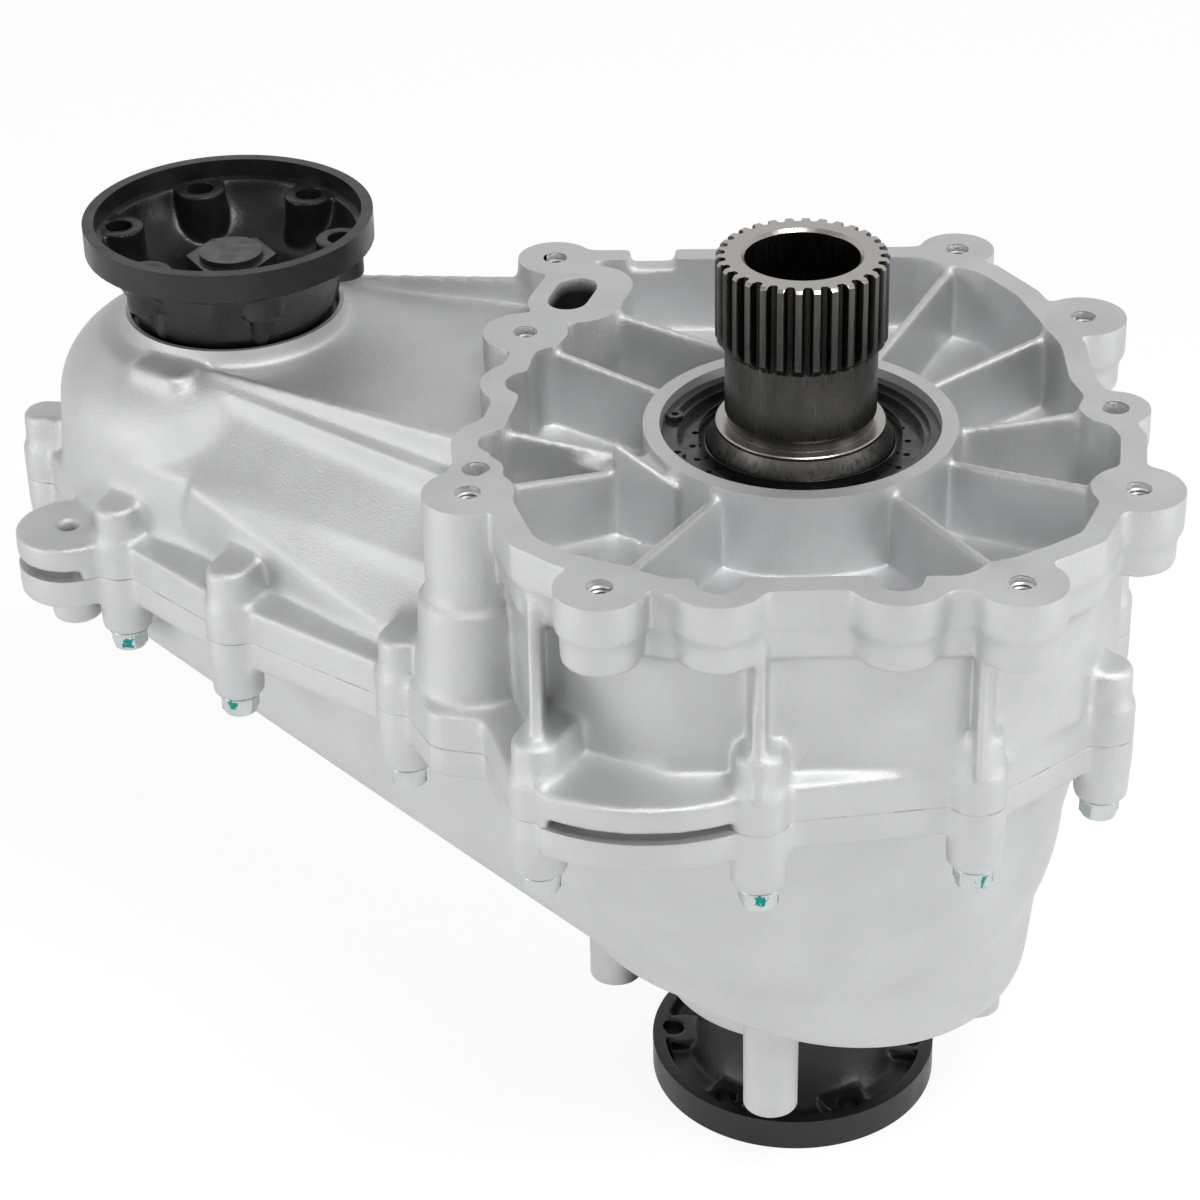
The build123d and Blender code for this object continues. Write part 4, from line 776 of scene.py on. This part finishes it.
class ShaftLook(bpy.types.PropertyGroup):
    """Sizes and colours of the splined input shaft."""
    teeth: IntProperty(name="Teeth", description="Spline teeth", default=30)
    tip_radius: FloatProperty(name="Tip radius", description="Radius over the teeth", default=30 * MM,
                              unit="LENGTH")
    root_radius: FloatProperty(name="Root radius", description="Radius at the foot of the grooves",
                               default=26.9 * MM, unit="LENGTH")
    neck_radius: FloatProperty(name="Neck radius", description="Radius under the spline", default=26.7 * MM,
                               unit="LENGTH")
    bore_radius: FloatProperty(name="Bore radius", description="Radius of the hollow", default=20 * MM,
                               unit="LENGTH")
    spline_length: FloatProperty(name="Spline length", description="Length of the full teeth", default=33.5 * MM,
                                 unit="LENGTH")
    steel_colour: FloatVectorProperty(name="Steel colour", description="Colour of the hardened steel", size=3,
                                      subtype="COLOR", default=(0.14, 0.133, 0.123))
    ground_colour: FloatVectorProperty(name="Ground colour", description="Colour of the ground end and collar",
                                       size=3, subtype="COLOR", default=(0.45, 0.43, 0.405))


class FastenerLook(bpy.types.PropertyGroup):
    """Sizes and colours of the joint bolts."""
    across_flats: FloatProperty(name="Across flats", description="Bolt head width", default=12 * MM,
                                unit="LENGTH")
    head_height: FloatProperty(name="Head height", description="Bolt head height", default=6.5 * MM,
                               unit="LENGTH")
    washer_radius: FloatProperty(name="Washer radius", description="Bolt washer radius", default=7.6 * MM,
                                 unit="LENGTH")
    paint_colour: FloatVectorProperty(name="Paint colour", description="Colour of the inspection marks", size=3,
                                      subtype="COLOR", default=(0.02, 0.27, 0.25))


class FlangeLook(bpy.types.PropertyGroup):
    """Sizes and colour of the two output flanges."""
    voxel: FloatProperty(name="Voxel", description="Cell size of the forged surface", default=0.65 * MM,
                         unit="LENGTH")
    rounding: IntProperty(name="Rounding", description="Passes that round the forged edges", default=4)
    fillets: IntProperty(name="Fillets", description="Passes that fill the inner corners", default=24)
    triangles: IntProperty(name="Triangles", description="Triangles kept in each flange", default=60000)
    coat_colour: FloatVectorProperty(name="Coat colour", description="Colour of the black coating", size=3,
                                     subtype="COLOR", default=(0.009, 0.009, 0.009))


class StageLook(bpy.types.PropertyGroup):
    """Camera and studio light."""
    lens: FloatProperty(name="Lens", description="Focal length in millimetres", default=99.9)
    tilt: FloatProperty(name="Tilt", description="Camera angle below the horizon", default=radians(31.17),
                        subtype="ANGLE")
    roll: FloatProperty(name="Roll", description="Camera turn about its own axis", default=radians(-1.32),
                        subtype="ANGLE")
    key_power: FloatProperty(name="Key light", description="Power of the lamp above, in watts", default=14.5)
    fill_power: FloatProperty(name="Fill light", description="Power of each side lamp, in watts", default=6.5)


# Plain finishes: maker, colour, least and greatest roughness

PLAIN_FINISHES = {
    "coat_edge": (ground_steel, (0.045, 0.045, 0.045), 0.3, 0.42),
    "bearing_steel": (ground_steel, (0.6, 0.6, 0.6), 0.12, 0.25),
    "gear_steel": (ground_steel, (0.38, 0.37, 0.36), 0.25, 0.4),
    "shield_steel": (ground_steel, (0.7, 0.7, 0.69), 0.22, 0.36),
    "plate_black": (oiled_black, (0.02, 0.02, 0.02), 0.2, 0.45),
    "seal_gloss": (oiled_black, (0.01, 0.01, 0.01), 0.12, 0.3),
    "seal_rubber": (oiled_black, (0.012, 0.012, 0.012), 0.35, 0.6),
}
SET_FINISHES = {
    "cast_alloy": (cast_alloy, "case_housing"),
    "machined_alloy": (machined_alloy, "case_housing"),
    "black_coat": (black_coat, "case_flanges"),
    "hardened_steel": (hardened_steel, "case_shaft"),
    "zinc_plate": (zinc_plate, "case_fasteners"),
}
FINISHES = {}


def finish(name):
    """Material by name, made on first use from its row above or from the scene's settings."""
    if name not in FINISHES:
        if name in PLAIN_FINISHES:
            maker, *tone = PLAIN_FINISHES[name]
            FINISHES[name] = maker(name, *tone)
        else:
            maker, settings = SET_FINISHES[name]
            FINISHES[name] = maker(getattr(bpy.context.scene, settings))
    return FINISHES[name]


def dress_node(node, name):
    """Give a CAD node a finish."""
    mesh = NODES[node].data
    mesh.materials.clear()
    mesh.materials.append(finish(name))


# Housing

CHAIN_SKIRT = [
    (-229, 38.8, 219), (-154.6, -32.5, 219), (-125, -58, 219), (-105, -20, 219), (-190, 70, 219),
    (-221, 28, 248), (-136, -23, 248), (-121, -34, 248), (-100, -10, 248), (-190, 70, 248),
    (-212, 60, 268), (-124, -4, 268),
]
RIB_HALF, RIB_FOOT_Z = 2.3, 219


def wall_rib(x, foot_y, top_y, inner_y, top_z):
    """Corner points, in millimetres, of an upright rib on the adapter's wall, from the joint flange up."""
    side_view = ((foot_y, RIB_FOOT_Z), (top_y, top_z), (inner_y, top_z), (inner_y, RIB_FOOT_Z))
    return [(x + side, y, z) for side in (-RIB_HALF, RIB_HALF) for y, z in side_view]


WALL_RIBS = [
    wall_rib(-93.7, -129.9, -99.2, -88, 278),
    wall_rib(-21.5, -140.9, -121.8, -112, 274),
    wall_rib(53.2, -126.5, -126, -112, 279),
]


class CASE_OT_front_housing(bpy.types.Operator):
    """Make the front half of the cast housing."""
    bl_idname = "case.front_housing"
    bl_label = "Front housing"

    def execute(self, context):
        look = context.scene.case_housing
        milled = [
            CutFace(ADAPTER_Z, 1, MAIN_AXIS, EVERYWHERE), CutFace(JOINT_Z, -1, MAIN_AXIS, EVERYWHERE),
            CutFace(RING_Z, 1, MAIN_AXIS, RING_RADIUS), CutFace(TOWER_Z, 1, FRONT_AXIS, TOWER_RADIUS),
        ]
        dowels = [MOUNTS[f"gearbox_dowel_{k}"]["pos_m"][:2] for k in (1, 2)]
        bores = [CutBore(p, TAP_RADIUS, ADAPTER_Z - TAP_DEPTH, ADAPTER_Z) for p in tapped_holes()]
        bores += [
            CutBore(MAIN_AXIS, RING_BORE_RADIUS, RING_Z - RING_BORE_DEPTH, RING_Z),
            CutBore(FRONT_AXIS, FRONT_SEAL_RADIUS, TOWER_Z - FRONT_SEAL_DEPTH, TOWER_Z),
        ]
        bores += [CutBore(p, DOWEL_RADIUS, ADAPTER_Z - TAP_DEPTH, ADAPTER_Z) for p in dowels]
        mesh = cast_copy("front_case", look, look.fillets, milled, bores, HOLE_MOUTH,
                         still=(JOINT_Z - 10 * MM, JOINT_Z + 5 * MM), forms=[CHAIN_SKIRT] + WALL_RIBS)
        piece = new_piece("front_housing", mesh, "housing", "cast_alloy", "machined_alloy")
        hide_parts("front_case")
        return {"FINISHED"}


class CASE_OT_rear_housing(bpy.types.Operator):
    """Make the rear half of the cast housing."""
    bl_idname = "case.rear_housing"
    bl_label = "Rear housing"

    def execute(self, context):
        look = context.scene.case_housing
        milled = [
            CutFace(JOINT_Z, 1, MAIN_AXIS, EVERYWHERE), CutFace(POST_FOOT_Z, -1, MAIN_AXIS, EVERYWHERE),
            CutFace(NOSE_Z, -1, MAIN_AXIS, NOSE_RADIUS),
        ]
        bores = [CutBore(p, TAP_RADIUS, POST_FOOT_Z, POST_FOOT_Z + POST_TAP_DEPTH) for p in post_holes()]
        bores.append(CutBore(MAIN_AXIS, REAR_SEAL_RADIUS, NOSE_Z, NOSE_Z + REAR_SEAL_DEPTH))
        mesh = cast_copy("rear_case", look, look.fillets // 2, milled, bores, HOLE_MOUTH)
        piece = new_piece("rear_housing", mesh, "housing", "cast_alloy", "machined_alloy")
        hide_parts("rear_case")
        return {"FINISHED"}


# Bolts and threads

def bolt_head(flat, drop, columns):
    """Hexagon head that hangs down from its washer, with chamfered corners and a dished end."""
    rings = [
        (flat / cos(radians(30)), 0.0, True), (flat / cos(radians(30)), -0.82 * drop, True),
        (flat, -drop, False), (0.72 * flat, -drop, False), (0.62 * flat, -0.86 * drop, False),
        (0.0, -0.84 * drop, False),
    ]
    points, faces = [], []
    for radius, height, hexagon in rings:
        for k in range(columns):
            angle = 2 * pi * k / columns
            edge = flat / cos((angle + radians(30)) % radians(60) - radians(30))
            reach = edge if hexagon else min(radius, edge)
            points.append((reach * cos(angle), reach * sin(angle), height))
    for j in range(len(rings) - 1):
        for k in range(columns):
            a, b = j * columns + k, j * columns + (k + 1) % columns
            faces.append((a, b, b + columns, a + columns))
    faces.append(tuple(range(columns)))
    return mesh_from("bolt_head", points, faces)


def bolt_mesh(look):
    """Flange bolt that hangs head down: head, washer and shank."""
    columns = 48
    head = bolt_head(look.across_flats / 2, look.head_height, columns)
    rim = look.washer_radius
    washer = [(0.0, 1.6 * MM), (rim - 0.5 * MM, 1.6 * MM), (rim, 1.1 * MM), (rim, 0.5 * MM),
              (rim - 0.8 * MM, 0.0), (0.0, -0.1 * MM)]
    shank = [(0.0, 1.7 * MM), (4 * MM, 1.7 * MM), (4 * MM, 40 * MM), (3.2 * MM, 41 * MM), (0.0, 41 * MM)]
    with opened(head) as shell:
        for profile, sides in ((washer, columns), (shank, columns // 2)):
            shell.from_mesh(mesh_from("bolt_part", *turned_profile(profile, sides)))
    return head


class CASE_OT_joint_bolts(bpy.types.Operator):
    """Put the flange bolts in the joint, each turned as it was left."""
    bl_idname = "case.joint_bolts"
    bl_label = "Joint bolts"

    def execute(self, context):
        look = context.scene.case_fasteners
        places = [(x, y, BOLT_FOOT_Z + look.head_height) for x, y in bolt_axes()]
        piece = copies("joint_bolts", "housing", bolt_mesh(look), places, "zinc_plate")
        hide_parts("case_bolts")
        return {"FINISHED"}


def thread_mesh(radius, pitch, length):
    """Helical ridge on the wall of a tapped hole, hanging down from its mouth."""
    steps = 20
    count = int(length / pitch * steps)
    wall = radius + 0.1 * MM
    section = ((wall, 0.42), (wall, -0.42), (radius - 0.54 * pitch, 0.0))
    points, faces = [], []
    for k in range(count + 1):
        angle = 2 * pi * k / steps
        for reach, rise in section:
            points.append((reach * cos(angle), reach * sin(angle), pitch * (rise - k / steps)))
    for k in range(count):
        a, b = 3 * k, 3 * (k + 1)
        faces += [(a + j, b + j, b + (j + 1) % 3, a + (j + 1) % 3) for j in range(3)]
    faces += [(0, 1, 2), (3 * count, 3 * count + 2, 3 * count + 1)]
    return mesh_from("thread", points, faces)


class CASE_OT_threads(bpy.types.Operator):
    """Put the threads in the tapped holes of the gearbox face and the posts."""
    bl_idname = "case.threads"
    bl_label = "Threads"

    def execute(self, context):
        ridge = thread_mesh(THREAD_RADIUS, THREAD_PITCH, THREAD_LENGTH)
        post_top = POST_FOOT_Z + THREAD_LENGTH + THREAD_PITCH
        for name, holes, top in (("gearbox_threads", tapped_holes(), ADAPTER_Z - 1.6 * THREAD_PITCH),
                                 ("post_threads", post_holes(), post_top)):
            places = [(x, y, top) for x, y in holes]
            piece = copies(name, "housing", ridge.copy(), places, "machined_alloy")
        return {"FINISHED"}


# Input shaft and bearing mouth

FLANK_PHASES = (0.15, 0.18, 0.21, 0.25, 0.29, 0.34, 0.41)
SPLINE_PHASES = (-0.5, *(-phase for phase in reversed(FLANK_PHASES)), 0.0, *FLANK_PHASES)
LAND_END, FLANK_RUN, GROOVE_DEPTH = 0.17, 0.13, 0.35 * MM


def spline_reach(look, phase):
    """Radius of the spline at a share of its pitch: narrow land, steep flank and rounded groove."""
    share = min(max((abs(phase) - LAND_END) / FLANK_RUN, 0.0), 1.0)
    fall = share * share * (3 - 2 * share)
    groove = GROOVE_DEPTH * cos(pi * (0.5 - abs(phase)) / 0.44) if share == 1.0 else 0.0
    return look.tip_radius - fall * (look.tip_radius - look.root_radius) - groove


def shaft_profile(look):
    """Closed profile of the shaft as (radius, height), with no radius where the spline gives it."""
    top, foot = SHAFT_TOP_Z, SHAFT_TOP_Z - look.spline_length
    neck, relief = look.neck_radius, 25.8 * MM
    heights = [top - k * 0.5 * MM for k in range(5)] + [top - 8 * MM, top - 18 * MM]
    heights += [foot + k * 0.6 * MM for k in range(8, 0, -1)]
    rows = [(None, z) for z in heights]
    rows += [(neck, foot), (neck, foot - 4 * MM), (neck, RING_Z + 6 * MM), (relief, RING_Z + 5 * MM)]
    rows += [(relief, RING_Z + 1.5 * MM), (COLLAR_TOP_RADIUS - 0.4 * MM, RING_Z + 1.5 * MM)]
    rows += [(COLLAR_TOP_RADIUS, RING_Z + 1.1 * MM), (COLLAR_TOP_RADIUS, RING_Z)]
    rows += [(COLLAR_RADIUS, RING_Z - COLLAR_SLOPE), (COLLAR_RADIUS, RING_Z - COLLAR_DEPTH)]
    rows += [(SEAT_RADIUS, RING_Z - COLLAR_DEPTH), (SEAT_RADIUS, SEAT_Z), (TAIL_RADIUS, SEAT_Z)]
    rows += [(TAIL_RADIUS, TAIL_Z), (0.0, TAIL_Z), (0.0, HOLLOW_Z), (look.bore_radius, HOLLOW_Z)]
    return rows + [(look.bore_radius, top - 1.2 * MM), (look.bore_radius + 1.2 * MM, top)]


def shaft_mesh(look):
    """Hollow shaft with its splined end, neck, collar, bearing seat and tail."""
    rows = shaft_profile(look)
    foot = SHAFT_TOP_Z - look.spline_length
    points = []
    for tooth in range(look.teeth):
        for phase in SPLINE_PHASES:
            angle = 2 * pi * (tooth + phase) / look.teeth
            reach = spline_reach(look, phase)
            for radius, z in rows:
                if radius is None:
                    chamfer = look.tip_radius - 1 * MM + SHAFT_TOP_Z - z
                    radius = min(reach, chamfer, look.neck_radius + z - foot)
                points.append((radius * cos(angle), radius * sin(angle), z))
    mesh = mesh_from("splined_shaft", points, ring_skin(look.teeth * len(SPLINE_PHASES), len(rows)))
    smooth_by_angle(mesh, 32)
    return mesh


class CASE_OT_input_shaft(bpy.types.Operator):
    """Make the splined input shaft."""
    bl_idname = "case.input_shaft"
    bl_label = "Input shaft"

    def execute(self, context):
        mesh = shaft_mesh(context.scene.case_shaft)
        piece = new_piece("splined_shaft", mesh, "input", "hardened_steel")
        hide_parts("input_shaft")
        return {"FINISHED"}


class CASE_OT_bearing_mouth(bpy.types.Operator):
    """Dress the plate and the snap ring in the bearing ring, and make the seal with its lip."""
    bl_idname = "case.bearing_mouth"
    bl_label = "Bearing mouth"

    def execute(self, context):
        dress_node("oil_guide_plate", "plate_black")
        dress_node("input_snap_ring", "plate_black")
        low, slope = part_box("input_seal")[0].z, RING_Z - COLLAR_SLOPE
        inner, outer = COLLAR_RADIUS + 0.15 * MM, 36 * MM
        profile = [
            (inner, low), (outer, low), (outer, low + 5 * MM), (outer - 0.8 * MM, slope - 1.8 * MM),
            (outer - 1.4 * MM, slope - 0.9 * MM), (inner + 0.45 * MM, slope - 0.6 * MM),
            (inner, slope - 1 * MM),
        ]
        mesh = mesh_from("collar_seal", *turned_profile(profile, 160))
        smooth_by_angle(mesh, 50)
        piece = new_piece("collar_seal", mesh, "housing", "seal_gloss")
        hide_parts("input_seal")
        return {"FINISHED"}


# Output flanges and inner parts

class CASE_OT_front_cup(bpy.types.Operator):
    """Make the front output cup with the soft edges of a coated forging."""
    bl_idname = "case.front_cup"
    bl_label = "Front output cup"

    def execute(self, context):
        look = context.scene.case_flanges
        mount = MOUNTS["front_flange_bolts"]
        radius, foot = mount["dims"]["hole_r_mm"] * MM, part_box("front_flange")[0].z
        bores = [CutBore(p, radius, foot, CUP_LIP_Z) for p in circle_holes("front_flange", mount)]
        bores += [
            CutBore(FRONT_AXIS, CUP_REGISTER_RADIUS, CUP_LIP_Z - CUP_REGISTER_DEPTH, CUP_LIP_Z),
            CutBore(FRONT_AXIS, CUP_RIM_RADIUS, CUP_LIP_Z - CUP_RIM_DEPTH, CUP_LIP_Z),
        ]
        milled = [CutFace(CUP_LIP_Z, 1, FRONT_AXIS, EVERYWHERE)]
        mesh = cast_copy("front_flange", look, look.fillets, milled, bores)
        piece = new_piece("front_cup", mesh, "front_output", "black_coat", "coat_edge")
        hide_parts("front_flange")
        dress_node("front_flange_nut", "plate_black")
        dress_node("front_output_shaft", "plate_black")
        return {"FINISHED"}


class CASE_OT_rear_flange(bpy.types.Operator):
    """Make the rear output flange with the soft edges of a coated forging."""
    bl_idname = "case.rear_flange"
    bl_label = "Rear output flange"

    def execute(self, context):
        look = context.scene.case_flanges
        mount = MOUNTS["rear_flange_bolts"]
        radius = mount["dims"]["hole_r_mm"] * MM
        bores = [CutBore(p, radius, 0.0, REAR_RIM_Z) for p in circle_holes("rear_flange", mount)]
        bores.append(CutBore(MAIN_AXIS, REAR_RIM_RADIUS, 0.0, REAR_RIM_Z))
        milled = [CutFace(0.0, -1, MAIN_AXIS, EVERYWHERE)]
        mesh = cast_copy("rear_flange", look, look.fillets, milled, bores)
        piece = new_piece("rear_flange_forging", mesh, "rear_output", "black_coat", "coat_edge")
        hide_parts("rear_flange")
        dress_node("rear_dust_shield", "shield_steel")
        return {"FINISHED"}


class CASE_OT_inner_parts(bpy.types.Operator):
    """Dress the bearings, gears, chain, seals and plugs."""
    bl_idname = "case.inner_parts"
    bl_label = "Inner parts"

    def execute(self, context):
        for node, owner in NODES.items():
            if "bearing" in node:
                dress_node(node, "bearing_steel")
            elif node.endswith("_seal") and node != "input_seal":
                dress_node(node, "seal_rubber")
            elif node.endswith("_plug") or node == "dowel_sleeves":
                dress_node(node, "zinc_plate")
            elif node == "rear_flange_nut":
                dress_node(node, "shield_steel")
            elif owner.data.materials and owner.data.materials[0] not in FINISHES.values():
                dress_node(node, "gear_steel")
        return {"FINISHED"}


# Stage

FLOOR_HALF, FLOOR_Z = 4.0, -0.2 * MM
CAMERA_PLACE = (-71.9 * MM, -1033.4 * MM, 838.5 * MM)
LAMP_TARGET = (-0.09, 0.0, 0.2)
SKY_BEHIND = [(0.0, 0.7), (0.3, 0.95), (0.62, 0.98), (0.82, 0.62), (1.0, 0.4)]
SKY_BEFORE = [(0.0, 0.5), (0.25, 0.42), (0.6, 0.36), (0.85, 0.36), (1.0, 0.4)]
SKY_STRENGTH = 0.87
BACKDROP = (1.15, 1.15, 1.15)


def area_lamp(name, place, size, power):
    """Large soft lamp aimed at the object."""
    data = bpy.data.lights.new(name, "AREA")
    data.shape = "RECTANGLE"
    data.size, data.size_y = size
    data.energy = power
    lamp = in_scene(name, data)
    lamp.location = place
    lamp.rotation_mode = "QUATERNION"
    lamp.rotation_quaternion = (Vector(LAMP_TARGET) - Vector(place)).to_track_quat("-Z", "Y")


def sky_ramp(tree, height, stops):
    """Grey that follows the height of the direction; stops holds (height, grey) pairs."""
    ramp = add_node(tree, "ShaderNodeValToRGB", {"Fac": height})
    elements = ramp.color_ramp.elements
    for element, (place, shade) in zip(elements, (stops[0], stops[-1])):
        element.position, element.color = place, (shade, shade, shade, 1.0)
    for place, shade in stops[1:-1]:
        elements.new(place).color = (shade, shade, shade, 1.0)
    return ramp.outputs["Color"]


def studio_world():
    """Pale room: a bright sweep behind the object, greyer above the camera, and white to the camera."""
    world = bpy.data.worlds.new("studio")
    bpy.context.scene.world = world
    world.use_nodes = True
    tree = world.node_tree
    tree.nodes.clear()
    direction = add_node(tree, "ShaderNodeTexCoord").outputs["Generated"]
    across = add_node(tree, "ShaderNodeSeparateXYZ", {0: direction})
    behind = sky_ramp(tree, across.outputs["Z"], SKY_BEHIND)
    before = sky_ramp(tree, across.outputs["Z"], SKY_BEFORE)
    side = between(tree, across.outputs["Y"], 0.0, 1.0, -0.35, 0.35)
    shade = mixed_colour(tree, side, before, behind)
    path = tree.nodes.new("ShaderNodeLightPath")
    shade = mixed_colour(tree, path.outputs["Is Camera Ray"], shade, BACKDROP)
    background = add_node(tree, "ShaderNodeBackground", {"Color": shade, "Strength": SKY_STRENGTH})
    output = tree.nodes.new("ShaderNodeOutputWorld")
    tree.links.new(background.outputs[0], output.inputs["Surface"])


def floor_finish():
    """White sweep that shows white to the camera, paler grey to reflections, and still takes the shadow."""
    material = bpy.data.materials.new("white_sweep")
    material.use_nodes = True
    tree = material.node_tree
    tree.nodes.clear()
    path = tree.nodes.new("ShaderNodeLightPath")
    seen = calculate(tree, "MULTIPLY", path.outputs["Is Camera Ray"], 0.86)
    mirrored = calculate(tree, "MAXIMUM", path.outputs["Is Glossy Ray"], path.outputs["Is Transmission Ray"])
    seen = calculate(tree, "MAXIMUM", seen, calculate(tree, "MULTIPLY", mirrored, 0.5))
    matte = add_node(tree, "ShaderNodeBsdfDiffuse", {"Color": (0.86, 0.86, 0.86, 1.0)})
    glow = add_node(tree, "ShaderNodeEmission", {"Color": (1.0, 1.0, 1.0, 1.0), "Strength": 1.04})
    mix = add_node(tree, "ShaderNodeMixShader", {0: seen, 1: matte.outputs[0], 2: glow.outputs[0]})
    output = tree.nodes.new("ShaderNodeOutputMaterial")
    tree.links.new(mix.outputs[0], output.inputs["Surface"])
    return material


def photo_camera(look):
    """Camera at the photograph's place and angle."""
    data = bpy.data.cameras.new("photo_camera")
    data.sensor_width = 36.0
    data.lens = look.lens
    data.clip_start, data.clip_end = 0.01, 50.0
    camera = in_scene("photo_camera", data)
    camera.location = CAMERA_PLACE
    turn = Matrix.Rotation(pi / 2 - look.tilt, 4, "X") @ Matrix.Rotation(look.roll, 4, "Z")
    camera.rotation_mode = "QUATERNION"
    camera.rotation_quaternion = turn.to_quaternion()
    return camera


class CASE_OT_stage(bpy.types.Operator):
    """Set the floor, the studio light and the camera."""
    bl_idname = "case.stage"
    bl_label = "Stage"

    def execute(self, context):
        look = context.scene.case_stage
        corners = [(x * FLOOR_HALF, y * FLOOR_HALF, FLOOR_Z) for x, y in ((-1, -1), (1, -1), (1, 1), (-1, 1))]
        mesh = bpy.data.meshes.new("floor")
        mesh.from_pydata(corners, [], [(0, 1, 2, 3)])
        mesh.materials.append(floor_finish())
        floor = in_scene("floor", mesh)
        area_lamp("key_lamp", (0.3, -0.75, 1.5), (0.7, 0.4), look.key_power)
        area_lamp("left_lamp", (-1.5, -0.6, 0.45), (0.6, 0.8), look.fill_power)
        area_lamp("right_lamp", (1.3, -0.5, 0.6), (0.6, 0.8), look.fill_power)
        studio_world()
        context.scene.camera = photo_camera(look)
        context.scene.view_settings.view_transform = "Standard"
        return {"FINISHED"}


class CASE_PT_panel(bpy.types.Panel):
    """Buttons that dress the transfer case."""
    bl_label = "Transfer case"
    bl_space_type = "VIEW_3D"
    bl_region_type = "UI"
    bl_category = "Transfer case"

    def draw(self, context):
        for operator in OPERATORS:
            self.layout.operator(operator.bl_idname)


LOOKS = {
    "case_housing": HousingLook, "case_shaft": ShaftLook, "case_fasteners": FastenerLook,
    "case_flanges": FlangeLook, "case_stage": StageLook,
}
OPERATORS = [
    CASE_OT_front_housing, CASE_OT_rear_housing, CASE_OT_joint_bolts, CASE_OT_threads, CASE_OT_input_shaft,
    CASE_OT_bearing_mouth, CASE_OT_front_cup, CASE_OT_rear_flange, CASE_OT_inner_parts, CASE_OT_stage,
]


def register():
    """Register the settings, the operators and the panel."""
    for name, look in LOOKS.items():
        bpy.utils.register_class(look)
        setattr(bpy.types.Scene, name, PointerProperty(type=look))
    for item in (*OPERATORS, CASE_PT_panel):
        bpy.utils.register_class(item)


def unregister():
    """Take the panel, the operators and the settings away."""
    for item in (CASE_PT_panel, *reversed(OPERATORS)):
        bpy.utils.unregister_class(item)
    for name, look in LOOKS.items():
        delattr(bpy.types.Scene, name)
        bpy.utils.unregister_class(look)


def main():
    """Dress the transfer case."""
    register()
    for operator in OPERATORS:
        group, name = operator.bl_idname.split(".")
        getattr(getattr(bpy.ops, group), name)()


if __name__ == "__main__":
    main()
